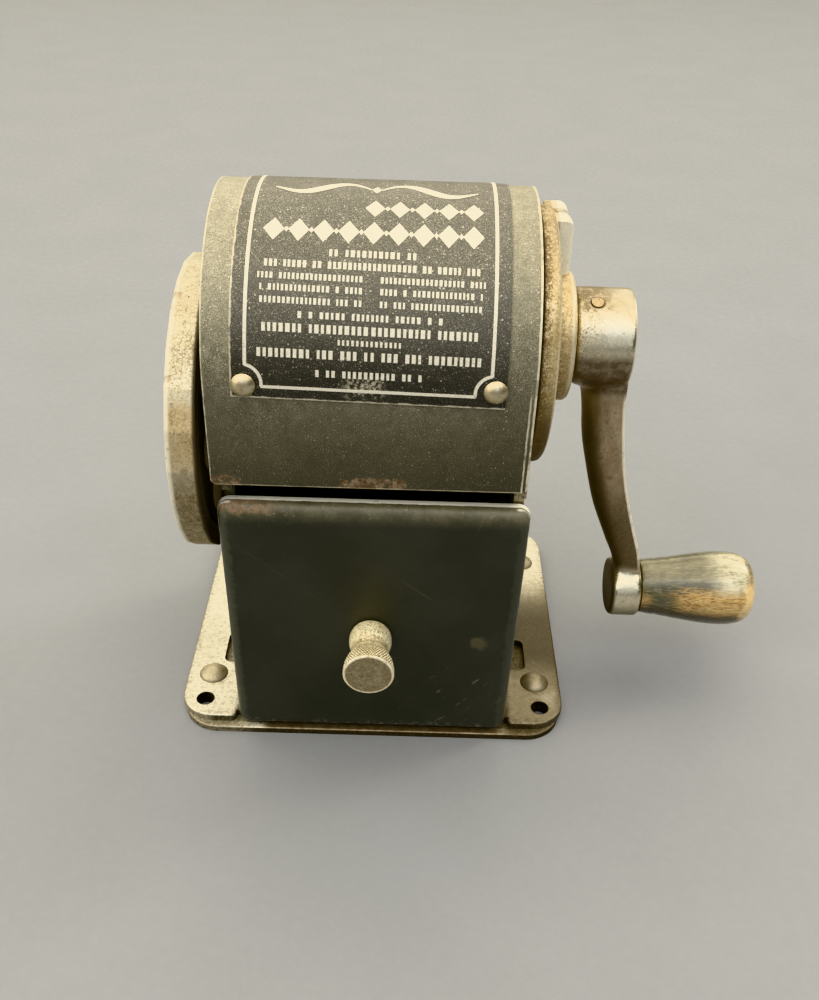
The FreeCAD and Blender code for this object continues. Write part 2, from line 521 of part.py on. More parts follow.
# ---- crank ---------------------------------------------------------------------------
shaft = turned([(CAR_X2 + 1.0, 0), (CAR_X2 + 1.0, 2.6), (CAR_X2 + 1.4, 3.0), (CAR_X3, 3.0), (CAR_X3, SHAFT_R), (HUB_X1 - 0.8, SHAFT_R), (HUB_X1 - 0.3, SHAFT_R - 0.5), (HUB_X1 - 0.3, 0)], (0, 0, AX), (1, 0, 0))
PIN_A = math.radians(112.2)
pd = (0, math.cos(PIN_A), math.sin(PIN_A))
PIN_X = 41.9
pin_hole = cyl(1.2, (PIN_X, -12 * pd[1], AX - 12 * pd[2]), pd, 24)
keep("crank_shaft", shaft.cut(pin_hole))
keep("thrust_washer", cylx(7.4, BOSS_X1 + 0.1, HUB_X0).cut(cylx(SHAFT_R, 30, 45)))

hub = turned([(HUB_X0, SHAFT_R), (HUB_X0, HUB_R - 0.5), (HUB_X0 + 0.5, HUB_R), (HUB_X1 - 0.5, HUB_R), (HUB_X1, HUB_R - 0.5), (HUB_X1, SHAFT_R)], (0, 0, AX), (1, 0, 0))
ZK = AX - THROW
boss = turned([(KB_X0, 0), (KB_X0, KB_R - 1.2), (KB_X0 + 0.15, KB_R - 0.62), (KB_X0 + 0.62, KB_R - 0.15), (KB_X0 + 1.2, KB_R), (KB_X1 - 0.4, KB_R), (KB_X1, KB_R - 0.4), (KB_X1, 0)], (0, 0, ZK), (1, 0, 0))
# arm: height, apex x of the rounded inner side, x of the flat outer side, half width of the flat
ARM = [(AX - 3.0, 38.9, 49.6, 7.6), (80.0, 39.9, 49.75, 6.8), (75.0, 41.2, 50.05, 6.2), (71.8, 41.8, 50.3, 5.95), (67.0, 42.5, 50.9, 5.7), (62.0, 43.3, 51.7, 5.4), (58.0, 44.25, 52.4, 5.1), (52.0, 45.8, 53.8, 4.75), (46.0, 47.6, 55.5, 4.4),
       (40.3, 49.9, 57.3, 4.05), (34.5, 52.3, 59.2, 3.7), (31.0, 53.6, 59.9, 3.5), (27.0, 54.6, 60.4, 3.3), (ZK + 0.5, 55.2, 60.5, 3.1)]


def arm_section(z, x0, x1, h):
    b = 0.6
    k = 1 - math.sqrt(0.5)
    P = lambda x, y: V(x, y, z)
    xc = x1 - b - 0.9
    q = math.sqrt(0.5)
    e = [Part.makeLine(P(xc, -h), P(x1 - b, -h)),
         Part.Arc(P(x1 - b, -h), P(x1 - b * k, -h + b * k), P(x1, -h + b)).toShape(),
         Part.makeLine(P(x1, -h + b), P(x1, h - b)),
         Part.Arc(P(x1, h - b), P(x1 - b * k, h - b * k), P(x1 - b, h)).toShape(),
         Part.makeLine(P(x1 - b, h), P(xc, h))]
    for sy in (1, -1):
        # a quarter of a full, slightly squared oval from the side to the apex
        n = 10
        pts = []
        for i in range(n + 1):
            t = math.pi / 2 * i / n
            pts.append(P(xc - (xc - x0) * math.sin(t) ** 0.9, sy * h * math.cos(t) ** 0.9 if i < n else 0.0))
        if sy < 0:
            pts.reverse()
        c = Part.BSplineCurve()
        if sy > 0:
            c.interpolate(pts, InitialTangent=V(-1, 0, 0), FinalTangent=V(0, -1, 0))
        else:
            c.interpolate(pts, InitialTangent=V(0, -1, 0), FinalTangent=V(1, 0, 0))
        e.append(c.toShape())
    return Part.Wire(e)


arm = Part.makeLoft([arm_section(*s) for s in ARM], True, False)
crank = hub.fuse(arm.cut(cylx(SHAFT_R + 1.0, 30, 60))).fuse(boss).removeSplitter()
crank = crank.cut(cylx(SHAFT_R, 30, HUB_X1 + 0.01)).cut(cylx(2.5, 55.0, 70, 0, ZK)).cut(pin_hole)
keep("crank_arm", crank)
keep("crank_pin", pin_hole.common(cylx(HUB_R + 0.05, 30, 60)))

# ---- wooden grip and its spindle ------------------------------------------------------
spin = turned([(55.0, 0), (55.0, 2.5), (85.0, 2.5), (85.0, 4.0), (85.8, 4.0), (86.3, 3.3), (86.5, 0)], (0, 0, ZK), (1, 0, 0))
keep("grip_spindle", spin)
gp = [(GRIP_X0, 6.05), (61.8, 6.35), (64.0, 6.65), (67.0, 7.05), (71.0, 7.7), (75.5, 8.35), (79.5, 8.62), (82.2, 8.5), (84.4, 8.0), (85.9, 7.05), (86.7, 5.85), (GRIP_X1, 4.75)]
grip = turned_smooth(gp, [(84.9, 4.75), (84.9, 2.55), (GRIP_X0, 2.55)], (0, 0, ZK), (1, 0, 0))
keep("wood_grip", grip)

# ---- write the pieces -------------------------------------------------------------------
for name, shape in PARTS.items():
    s = shape.copy()
    s.translate(V(0, YA, 0))
    bad = [x for x in s.Solids if not x.isValid() or x.Volume <= 0]
    print(name, "solids", len(s.Solids), "volume", round(sum(x.Volume for x in s.Solids), 2), "bad", len(bad), "shells", sum(len(x.Shells) for x in s.Solids))
    out = s.Solids[0] if len(s.Solids) == 1 else Part.makeCompound(s.Solids)
    out.exportStep("parts/" + name + ".step")
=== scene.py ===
import bpy, bmesh, math, json
import numpy as np
from mathutils import Matrix, Vector


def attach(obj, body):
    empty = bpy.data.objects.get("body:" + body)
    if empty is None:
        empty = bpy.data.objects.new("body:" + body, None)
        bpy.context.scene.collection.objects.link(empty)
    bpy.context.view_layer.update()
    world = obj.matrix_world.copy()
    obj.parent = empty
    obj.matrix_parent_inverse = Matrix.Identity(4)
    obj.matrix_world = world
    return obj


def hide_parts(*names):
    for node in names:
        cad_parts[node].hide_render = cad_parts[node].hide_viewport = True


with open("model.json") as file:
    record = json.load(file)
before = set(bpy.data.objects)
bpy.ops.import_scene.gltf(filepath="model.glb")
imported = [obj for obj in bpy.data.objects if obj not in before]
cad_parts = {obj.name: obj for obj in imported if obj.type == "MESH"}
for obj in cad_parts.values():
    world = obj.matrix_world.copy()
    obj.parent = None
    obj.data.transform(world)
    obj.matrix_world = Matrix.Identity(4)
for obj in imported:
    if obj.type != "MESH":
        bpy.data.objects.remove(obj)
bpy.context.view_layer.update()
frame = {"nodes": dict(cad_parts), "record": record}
NODE = frame["nodes"]
MM = 0.001
YA, AX = -9.55, 86.1          # crank axis in the row frame, mm
DIAL_Z = 68.8
ZK = AX - 63.5                # grip axis height, mm


# ------------------------------------------------------------------------------------------
# shader building
# ------------------------------------------------------------------------------------------
class Graph:
    """A small writer for one procedural material. Coordinates are millimetres in the row frame."""

    def __init__(self, name):
        self.m = bpy.data.materials.new(name)
        self.m.use_nodes = True
        self.t = self.m.node_tree
        self.t.nodes.clear()
        self.out = self.t.nodes.new("ShaderNodeOutputMaterial")
        self.b = self.t.nodes.new("ShaderNodeBsdfPrincipled")
        self.t.links.new(self.b.outputs[0], self.out.inputs[0])
        tc = self.t.nodes.new("ShaderNodeTexCoord")
        self.P = self.vscale(tc.outputs["Object"], 1000.0)
        self.x, self.y, self.z = self.sep(self.P)

    def node(self, kind, **kw):
        n = self.t.nodes.new(kind)
        for k, v in kw.items():
            setattr(n, k, v)
        return n

    def put(self, sock, v):
        if isinstance(v, bpy.types.NodeSocket):
            self.t.links.new(v, sock)
        elif v is not None:
            if hasattr(sock.default_value, "__len__"):
                v = tuple(v)
                if len(sock.default_value) == 4 and len(v) == 3:
                    v = v + (1.0,)
            sock.default_value = v

    def vscale(self, vec, s):
        n = self.node("ShaderNodeVectorMath", operation="SCALE")
        self.put(n.inputs[0], vec)
        n.inputs["Scale"].default_value = s
        return n.outputs[0]

    def vmul(self, vec, xyz):
        n = self.node("ShaderNodeVectorMath", operation="MULTIPLY")
        self.put(n.inputs[0], vec)
        n.inputs[1].default_value = xyz
        return n.outputs[0]

    def vadd(self, vec, other):
        n = self.node("ShaderNodeVectorMath", operation="ADD")
        self.put(n.inputs[0], vec)
        self.put(n.inputs[1], other)
        return n.outputs[0]

    def vrot(self, vec, axis, deg):
        n = self.node("ShaderNodeVectorRotate", rotation_type="AXIS_ANGLE")
        self.put(n.inputs["Vector"], vec)
        n.inputs["Axis"].default_value = axis
        n.inputs["Angle"].default_value = math.radians(deg)
        return n.outputs[0]

    def sep(self, vec):
        n = self.node("ShaderNodeSeparateXYZ")
        self.put(n.inputs[0], vec)
        return n.outputs[0], n.outputs[1], n.outputs[2]

    def comb(self, x, y, z):
        n = self.node("ShaderNodeCombineXYZ")
        for i, v in enumerate((x, y, z)):
            self.put(n.inputs[i], v)
        return n.outputs[0]

    def m_(self, op, a, b=None, c=None, clamp=False):
        n = self.node("ShaderNodeMath", operation=op, use_clamp=clamp)
        for i, v in enumerate((a, b, c)):
            if v is not None:
                self.put(n.inputs[i], v)
        return n.outputs[0]

    def add(self, a, b): return self.m_("ADD", a, b)
    def sub(self, a, b): return self.m_("SUBTRACT", a, b)
    def mul(self, a, b): return self.m_("MULTIPLY", a, b)
    def mn(self, a, b): return self.m_("MINIMUM", a, b)
    def mx(self, a, b): return self.m_("MAXIMUM", a, b)
    def ab(self, a): return self.m_("ABSOLUTE", a)

    def rng(self, v, a, b, c=0.0, d=1.0, smooth=True):
        n = self.node("ShaderNodeMapRange", interpolation_type="SMOOTHSTEP" if smooth else "LINEAR")
        self.put(n.inputs["Value"], v)
        for k, x in (("From Min", a), ("From Max", b), ("To Min", c), ("To Max", d)):
            self.put(n.inputs[k], x)
        return n.outputs[0]

    def mix(self, fac, a, b, blend="MIX"):
        n = self.node("ShaderNodeMix", data_type="RGBA", blend_type=blend)
        self.put(n.inputs[0], fac)
        self.put(n.inputs[6], a)
        self.put(n.inputs[7], b)
        return n.outputs[2]

    def mixf(self, fac, a, b):
        n = self.node("ShaderNodeMix", data_type="FLOAT")
        self.put(n.inputs[0], fac)
        self.put(n.inputs[2], a)
        self.put(n.inputs[3], b)
        return n.outputs[0]

    def noise(self, scale, detail=4.0, rough=0.55, dist=0.0, vec=None, w=None):
        n = self.node("ShaderNodeTexNoise")
        v = vec if vec is not None else self.P
        if w is not None:
            v = self.vadd(v, (w * 17.3, w * -9.1, w * 5.7))
        self.put(n.inputs["Vector"], v)
        n.inputs["Scale"].default_value = scale
        n.inputs["Detail"].default_value = detail
        n.inputs["Roughness"].default_value = rough
        n.inputs["Distortion"].default_value = dist
        return n.outputs["Fac"]

    def vor(self, scale, feature="F1", vec=None, rand=1.0, out="Distance", smooth=None):
        n = self.node("ShaderNodeTexVoronoi", feature=feature)
        self.put(n.inputs["Vector"], vec if vec is not None else self.P)
        n.inputs["Scale"].default_value = scale
        n.inputs["Randomness"].default_value = rand
        return n.outputs[out] if out else n

    def dots(self, scale, size, share, vec=None):
        """Mask of round specks: one in each voronoi cell, only a share of the cells, of varied size."""
        n = self.vor(scale, vec=vec, out=None)
        r, g_, b_ = self.seprgb(n.outputs["Color"])
        keep = self.m_("LESS_THAN", r, share)
        lim = self.mul(self.rng(g_, 0, 1, 0.35, 1.0, False), size)
        d = self.sub(lim, n.outputs["Distance"])
        return self.mul(self.rng(d, 0.0, size * 0.45), keep)

    def seprgb(self, c):
        n = self.node("ShaderNodeSeparateColor")
        self.put(n.inputs[0], c)
        return n.outputs[0], n.outputs[1], n.outputs[2]

    def scratches(self, axis, deg, scale, stretch, lo, hi, w=0.0):
        """Mask of fine straight scratches: noise stretched along one direction."""
        v = self.vrot(self.P, axis, deg)
        v = self.vmul(v, stretch)
        n = self.noise(scale, 2.0, 0.5, 0.0, vec=v, w=w)
        return self.rng(n, lo, hi)

    def edge(self, radius, lo=0.02, hi=0.35, samples=6):
        """Mask that is 1 on outside and inside corners of the mesh."""
        bv = self.node("ShaderNodeBevel", samples=samples)
        bv.inputs["Radius"].default_value = radius * MM
        ge = self.node("ShaderNodeNewGeometry")
        n = self.node("ShaderNodeVectorMath", operation="DOT_PRODUCT")
        self.t.links.new(bv.outputs[0], n.inputs[0])
        self.t.links.new(ge.outputs["Normal"], n.inputs[1])
        return self.rng(self.sub(1.0, n.outputs["Value"]), lo, hi)

    def bump(self, height, dist, strength=1.0, normal=None):
        n = self.node("ShaderNodeBump")
        n.inputs["Strength"].default_value = strength
        n.inputs["Distance"].default_value = dist * MM
        self.put(n.inputs["Height"], height)
        if normal is not None:
            self.put(n.inputs["Normal"], normal)
        return n.outputs[0]

    def done(self, color=None, metallic=None, rough=None, normal=None, **const):
        for k, v in (("Base Color", color), ("Metallic", metallic), ("Roughness", rough), ("Normal", normal)):
            if v is not None:
                self.put(self.b.inputs[k], v)
        for k, v in const.items():
            self.b.inputs[k.replace("_", " ")].default_value = v
        return self.m


def srgb(r, g, b):
    f = lambda c: c / 12.92 if c <= 0.04045 else ((c + 0.055) / 1.055) ** 2.4
    return tuple(f(v / 255.0) for v in (r, g, b))


# ------------------------------------------------------------------------------------------
# materials
# ------------------------------------------------------------------------------------------
PIT = srgb(52, 40, 26)
RUST_A, RUST_B = srgb(104, 66, 36), srgb(60, 40, 24)
DUST = (0.34, 0.315, 0.235)


def clustered(g, scale, size, share, lo=0.44, hi=0.62, w=0.0):
    """Specks of two sizes that come in groups."""
    grp = g.rng(g.noise(0.22, 4, 0.6, w=w + 3.0), lo, hi)
    v = g.vadd(g.P, (w * 3.1 + 0.7, w * 1.7, -w * 2.3))
    a = g.dots(scale, size, share, vec=v)
    b = g.dots(scale * 2.4, size, share * 0.9, vec=v)
    return g.mul(g.mx(a, b), grp)


def plated(name, light, mid, dark, rough=(0.30, 0.46), scale=0.08, pits=(0.9, 0.2, 0.4), w=0.0, halo=0.5, depth=0.05, extra=None, lo=0.44, hi=0.62, soft=None):
    """Old plated or bare metal: uneven tarnish in three scales, grouped pits with a brown stain round them."""
    g = Graph(name)
    n1 = g.noise(scale, 5, 0.6, 0.5, w=w)
    n2 = g.noise(scale * 7, 6, 0.68, 0.3, w=w + 1)
    n3 = g.noise(scale * 55, 3, 0.6, w=w + 2)
    t = g.add(g.mul(n1, 0.52), g.add(g.mul(n2, 0.33), g.mul(n3, 0.15)))
    a = g.rng(t, 0.38, 0.58)
    b = g.rng(t, 0.54, 0.70)
    s = {"g": g, "t": t, "n1": n1, "n2": n2, "n3": n3}
    s["col"] = g.mix(b, g.mix(a, light, mid), dark)
    s["ro"] = g.add(g.mixf(a, rough[0], rough[1]), g.rng(n3, 0.3, 0.7, -0.05, 0.06))
    s["met"] = g.mixf(b, 1.0, 0.94)
    s["h"] = g.add(g.mul(n3, 0.35), g.mul(n2, 0.6))
    if extra:
        extra(s)
    if pits:
        st = clustered(g, pits[0] * 0.42, 0.42, 0.5, lo, hi, w)
        s["col"] = g.mix(g.mul(st, halo), s["col"], srgb(120, 88, 50))
        s["met"] = g.mixf(g.mul(st, halo * 0.5), s["met"], 0.6)
        p = clustered(g, pits[0], pits[1], pits[2], lo, hi, w)
        s["col"] = g.mix(g.mul(p, 0.9), s["col"], PIT)
        s["ro"] = g.mixf(p, s["ro"], 0.8)
        s["met"] = g.mixf(p, s["met"], 0.2)
        s["h"] = g.sub(s["h"], g.mul(p, 1.6))
    nrm = None
    if soft:
        bv = g.node("ShaderNodeBevel", samples=6)
        bv.inputs["Radius"].default_value = soft * MM
        nrm = bv.outputs[0]
    return g.done(s["col"], s["met"], s["ro"], g.bump(s["h"], depth, normal=nrm))


def over(s, fac, col=None, ro=None, met=None):
    g = s["g"]
    if col is not None:
        s["col"] = g.mix(fac, s["col"], col)
    if ro is not None:
        s["ro"] = g.mixf(fac, s["ro"], ro)
    if met is not None:
        s["met"] = g.mixf(fac, s["met"], met)


def rusty(s, fac, w=0.0):
    g = s["g"]
    c = g.mix(g.noise(1.6, 6, 0.7, w=w + 7.0), RUST_A, RUST_B)
    over(s, fac, c, 0.82, 0.1)
    s["h"] = g.add(s["h"], g.mul(fac, g.mul(g.noise(3.0, 5, 0.7, w=w), 0.9)))


MATS = {}

# ---- casing: olive enamel under fine pale dust and a painted sheen toward the top --------------
g = Graph("cover_enamel")
yr = g.sub(g.y, YA)
up = g.rng(g.sub(g.z, AX), -20.0, 21.0, 0.0, 1.0, False)
back = g.rng(yr, 4.0, 22.0)
n_big = g.noise(0.05, 5, 0.6)
n_mid = g.noise(0.4, 6, 0.66, w=1)
n_fine = g.noise(3.4, 4, 0.72, w=2)
col = g.mix(g.rng(n_big, 0.35, 0.65), (0.0405, 0.0388, 0.0262), (0.0535, 0.0508, 0.0348))
# pale film rising toward the top, less toward the back and the right: dust and painted top sheen
dust_and_sheen = g.mul(g.m_("POWER", up, 1.12), g.rng(back, 0, 1, 1.0, 0.5))
dust_and_sheen = g.mul(dust_and_sheen, g.rng(g.add(g.mul(n_fine, 0.55), g.mul(n_mid, 0.45)), 0.36, 0.66, 0.34, 1.18))
dust_and_sheen = g.mul(dust_and_sheen, g.rng(g.x, 14.0, 27.0, 1.0, 0.78))
col = g.mix(g.m_("MINIMUM", g.mul(dust_and_sheen, 0.60), 1.0), col, (0.40, 0.375, 0.280))
# dust: fine pale grains, closer together toward the top
grain = g.rng(g.add(g.noise(6.0, 2, 0.6, w=11), g.mul(up, 0.13)), 0.53, 0.74)
grain = g.mul(grain, g.rng(g.noise(0.35, 5, 0.65, w=12), 0.34, 0.62, 0.50, 1.0))
grain = g.mul(grain, g.rng(back, 0, 1, 1.0, 0.6))
col = g.mix(g.mul(grain, g.mul(g.rng(up, 0, 1, 0.24, 0.52), g.rng(g.x, 14.0, 27.0, 1.0, 0.75))), col, (0.76, 0.71, 0.54))
sp = g.mx(g.mx(g.dots(0.9, 0.17, 0.35), g.mul(g.dots(1.35, 0.27, 0.45), g.rng(up, 0.35, 0.8))), g.mx(g.dots(1.9, 0.26, 0.42), g.dots(3.2, 0.34, 0.40)))
sp = g.mul(sp, g.rng(up, 0, 1, 0.42, 1.0))
sp = g.mul(sp, g.rng(g.noise(0.16, 5, 0.6, w=9), 0.36, 0.62, 0.40, 1.0))
col = g.mix(g.mul(sp, 0.85), col, (0.84, 0.80, 0.645))
hair = g.mx(g.scratches((1, 0, 0), 0, 1.0, (0.05, 1.6, 1.6), 0.70, 0.78, w=1.0),
            g.scratches((0, 1, 0), 62, 1.0, (0.05, 1.3, 1.6), 0.71, 0.78, w=2.0))
col = g.mix(g.mul(hair, 0.40), col, (0.26, 0.235, 0.15))
# short bright scuffs below the left corner of the plate
sc_c = g.mul(g.rng(g.ab(g.add(g.x, 21.5)), 6.5, 1.5), g.rng(g.ab(g.sub(g.z, 79.8)), 5.0, 1.0))
scf = g.mul(g.scratches((0, 1, 0), 38, 1.0, (0.30, 1.6, 2.6), 0.66, 0.71, w=7.0), g.mul(sc_c, g.rng(yr, -26.0, -28.0)))
col = g.mix(g.mul(scf, 0.40), col, (0.42, 0.395, 0.30))
ro = g.add(g.rng(n_mid, 0.3, 0.7, 0.30, 0.40), g.add(g.mul(dust_and_sheen, 0.10), g.mul(g.mx(sp, grain), 0.22)))
h = g.add(g.mul(n_fine, 0.45), g.add(g.mul(g.noise(0.9, 4, 0.6), 0.5), g.mul(g.mx(sp, grain), 0.6)))
# brown stain and rust along the lower front edge, heavier at the middle and the left corner
front = g.rng(yr, -24.0, -27.0)
low = g.rng(g.sub(g.z, 67.0), 3.6, 0.6)
mid_patch = g.rng(g.ab(g.sub(g.x, 0.0)), 8.5, 3.5)
left_patch = g.rng(g.x, -21.0, -28.0)
rm = g.mul(g.mul(front, low), g.mx(mid_patch, g.mul(left_patch, 0.7)))
rm = g.rng(g.mul(rm, g.rng(g.noise(0.55, 6, 0.68, 0.5), 0.34, 0.56)), 0.18, 0.44)
col = g.mix(g.mul(rm, 0.85), col, g.mix(g.rng(g.noise(1.3, 6, 0.7), 0.36, 0.64), srgb(150, 134, 112), srgb(88, 64, 44)))
ro = g.mixf(rm, ro, 0.75)
# pale lines on the left edge and two along the right edge: bare worn metal and painted edge highlight
jit = g.rng(g.noise(0.35, 4, 0.6, w=4), 0.3, 0.7, -0.07, 0.07)
el = g.rng(g.add(g.add(g.x, 30.7), jit), 0.30, 0.14)
er = g.sub(28.8, g.x)
er1 = g.rng(g.ab(g.sub(g.add(er, jit), 0.10)), 0.36, 0.20)
er2 = g.rng(g.ab(g.sub(g.add(er, jit), 1.05)), 0.22, 0.10)
er2 = g.mul(er2, g.rng(g.z, 92.0, 84.0))
bottom = g.mul(g.rng(g.add(g.sub(g.z, 67.0), jit), 0.30, 0.12), front)
wear_and_highlight = g.mx(g.mx(g.mul(el, 0.8), er1), g.mx(g.mul(er2, 0.8), g.mul(bottom, 0.45)))
wear_and_highlight = g.mul(wear_and_highlight, g.rng(g.noise(0.30, 6, 0.7, w=6), 0.34, 0.56, 0.25, 1.0))
chips = g.mul(g.rng(g.noise(1.7, 5, 0.75, w=8), 0.66, 0.71), g.mx(g.mul(g.rng(g.x, -26.0, -30.4), g.rng(g.z, 82.0, 69.0)), g.rng(g.x, 25.5, 28.5)))
wear_and_highlight = g.mx(wear_and_highlight, chips)
col = g.mix(wear_and_highlight, col, (0.80, 0.73, 0.55))
ro = g.mixf(wear_and_highlight, ro, 0.36)
h = g.sub(h, g.mul(wear_and_highlight, 0.6))
MATS["cover_enamel"] = g.done(col, g.mul(wear_and_highlight, 0.4), ro, g.bump(h, 0.035), Specular_IOR_Level=0.75, Specular_Tint=(1.0, 0.985, 0.87, 1.0))

# ---- drawer: the same enamel, darker and cleaner -----------------------------------------------
g = Graph("drawer_enamel")
yr = g.sub(g.y, YA)
n_big = g.noise(0.06, 5, 0.6, w=3)
n_mid = g.noise(0.5, 6, 0.66, w=4)
n_fine = g.noise(3.4, 4, 0.7, w=5)
col = g.mix(g.rng(n_big, 0.35, 0.65), (0.0350, 0.0372, 0.0300), (0.0450, 0.0474, 0.0390))
sp = g.mx(g.dots(0.6, 0.11, 0.28), g.mx(g.dots(1.7, 0.14, 0.25), g.dots(3.1, 0.2, 0.25)))
col = g.mix(g.mul(sp, 0.40), col, (0.34, 0.31, 0.21))
hair = g.mx(g.scratches((0, 1, 0), 74, 1.0, (0.035, 1.5, 1.9), 0.735, 0.79, w=3.0),
            g.scratches((0, 1, 0), -38, 1.0, (0.05, 1.5, 1.7), 0.745, 0.80, w=5.0))
col = g.mix(g.mul(hair, 0.30), col, (0.18, 0.165, 0.11))
# small scratches low on the right
lr = g.mul(g.rng(g.x, 2.0, 12.0), g.mul(g.rng(g.z, 26.0, 18.0), g.rng(yr, -27.4, -28.2)))
sc2 = g.mul(g.scratches((0, 1, 0), 48, 1.0, (0.28, 1.6, 2.2), 0.69, 0.75, w=9.0), lr)
col = g.mix(g.mul(sc2, 0.42), col, (0.32, 0.295, 0.215))
ro = g.add(g.rng(n_mid, 0.3, 0.7, 0.38, 0.48), g.mul(sp, 0.3))
h = g.add(g.mul(n_fine, 0.4), g.mul(g.noise(0.8, 4, 0.6), 0.6))
# a faint ring mark, dust and a painted highlight on the top flange, rust at its left end
rd = g.m_("SQRT", g.add(g.m_("POWER", g.sub(g.x, 22.1), 2.0), g.m_("POWER", g.sub(g.z, 28.8), 2.0)))
ring = g.mul(g.rng(g.add(rd, g.rng(n_mid, 0.3, 0.7, -0.5, 0.5)), 2.2, 1.2), g.rng(yr, -27.5, -28.2))
col = g.mix(g.mul(ring, 0.42), col, (0.175, 0.155, 0.100))
half = g.add(29.5, g.mul(g.sub(g.z, 2.3), 1.0 / 59.9))
side_in = g.sub(half, g.ab(g.x))
# a lighter band on the rounded side edges: painted edge highlight
edge_highlight_band = g.mul(g.rng(g.add(side_in, g.rng(n_mid, 0.3, 0.7, -0.5, 0.5)), 2.6, 1.6), g.rng(g.ab(g.x), 10.0, 20.0))
col = g.mix(g.mul(edge_highlight_band, 0.42), col, (0.098, 0.105, 0.082))
# the rounded top lighter: dust and painted highlight
top = g.rng(g.add(g.z, g.rng(n_mid, 0.3, 0.7, -0.20, 0.20)), 57.6, 61.6)
col = g.mix(g.mul(top, g.rng(g.noise(0.25, 6, 0.66, w=7), 0.34, 0.60, 0.26, 0.50)), col, (0.25, 0.236, 0.160))
tl = g.mul(g.rng(g.x, -17.5, -21.5), g.rng(g.add(g.z, g.rng(n_mid, 0.3, 0.7, -0.6, 0.6)), 59.7, 60.7))
scatter = g.mul(g.rng(g.z, 58.0, 61.0), g.rng(g.noise(1.3, 6, 0.74, w=15), 0.60, 0.66))
rm = g.mul(tl, g.rng(g.noise(0.42, 6, 0.68, w=9), 0.40, 0.50))
rc = g.mix(g.rng(g.noise(0.9, 6, 0.7, w=2), 0.35, 0.65), (0.29, 0.205, 0.138), (0.18, 0.132, 0.088))
col = g.mix(g.mul(rm, 0.85), col, rc)
ro = g.mixf(g.mul(rm, 0.8), ro, 0.66)
# pale flecks under the rust and at the right corner
fl = g.mul(g.rng(g.noise(2.1, 4, 0.75, w=16), 0.64, 0.69), g.mul(g.rng(g.z, 56.0, 60.0), g.mx(g.rng(g.x, -12.0, -24.0), g.rng(g.x, 18.0, 27.0))))
col = g.mix(g.mul(g.mx(fl, g.mul(scatter, 0.5)), 0.8), col, (0.52, 0.48, 0.36))
# pale lines painted as highlights: back edge of the top flange, round the top corners and down the sides; worn pale at
# the lower corners
jit = g.rng(g.noise(0.4, 4, 0.6, w=4), 0.3, 0.7, -0.09, 0.09)
bk = g.mul(g.rng(g.add(yr, jit), -26.36, -26.14), g.rng(g.z, 59.5, 60.5))
dtop = g.sub(62.2, g.z)
cr_u, cr_v = g.mx(g.sub(2.7, side_in), 0.0), g.mx(g.sub(2.7, dtop), 0.0)
cd_ = g.m_("SQRT", g.add(g.m_("POWER", cr_u, 2.0), g.m_("POWER", cr_v, 2.0)))
sd = g.mul(g.rng(g.add(cd_, jit), 2.42, 2.60), g.mul(g.mul(g.rng(g.z, 46.0, 61.0, 0.22, 1.0), g.rng(yr, -26.4, -26.9)), g.rng(side_in, 3.2, 2.4)))
wear_and_highlight = g.mx(bk, g.mul(sd, 0.85))
wear_and_highlight = g.mul(wear_and_highlight, g.rng(g.noise(0.4, 6, 0.7, w=6), 0.26, 0.42, 0.50, 1.0))
lowc = g.mul(g.rng(g.z, 5.6, 3.0), g.rng(g.noise(0.9, 6, 0.74, w=12), 0.52, 0.62))
wear_and_highlight = g.mx(wear_and_highlight, g.mul(lowc, 0.3))
col = g.mix(wear_and_highlight, col, (1.0, 0.965, 0.83))
ro = g.mixf(wear_and_highlight, ro, 0.40)
MATS["drawer_enamel"] = g.done(col, 0.0, ro, g.bump(g.sub(h, g.mul(wear_and_highlight, 0.6)), 0.03), Specular_IOR_Level=0.55, Specular_Tint=(1.0, 1.0, 0.98, 1.0))

# ---- name plate: black print with pale specks, silver rules ---------------------------------------
g = Graph("plate_black")
yr = g.sub(g.y, YA)
up = g.rng(g.sub(g.z, AX), -3.0, 24.0, 0.0, 1.0, False)
n_big = g.noise(0.12, 5, 0.62, w=2)
n_fine = g.noise(2.6, 5, 0.75, w=3)
col = g.mix(g.rng(n_big, 0.35, 0.65), (0.022, 0.0216, 0.0200), (0.032, 0.0313, 0.0288))
gr = g.rng(g.add(g.noise(5.2, 2, 0.65, w=13), g.mul(up, 0.09)), 0.58, 0.80)
gr = g.mul(g.mul(gr, g.rng(up, 0.0, 0.5, 0.45, 1.0)), g.rng(g.noise(0.32, 5, 0.66, w=8), 0.34, 0.60, 0.45, 1.0))
# painted sheen: the black lifted toward the top
col = g.mix(g.mul(g.rng(up, 0.22, 0.66, 0.03, 0.15), g.rng(n_fine, 0.3, 0.7, 0.6, 1.4)), col, (0.40, 0.385, 0.32))
col = g.mix(g.mul(gr, 0.60), col, (0.68, 0.655, 0.54))
sp = g.mx(g.dots(1.5, 0.32, 0.45), g.mx(g.dots(3.4, 0.34, 0.55), g.mul(g.dots(0.7, 0.16, 0.3), 0.9)))
sp = g.mul(sp, g.rng(g.noise(0.3, 5, 0.65, w=18), 0.34, 0.60, 0.35, 1.0))
col = g.mix(g.mul(g.mul(sp, g.rng(up, 0, 1, 0.55, 1.0)), 0.85), col, (0.72, 0.69, 0.57))
scuff = g.mul(g.rng(g.ab(g.sub(g.x, -2.0)), 4.5, 2.0), g.rng(g.ab(g.sub(g.z, 88.4)), 2.6, 0.8))
scuff = g.mul(g.mul(scuff, g.rng(yr, -26.0, -27.5)), g.rng(g.noise(1.4, 6, 0.75, w=5), 0.47, 0.56))
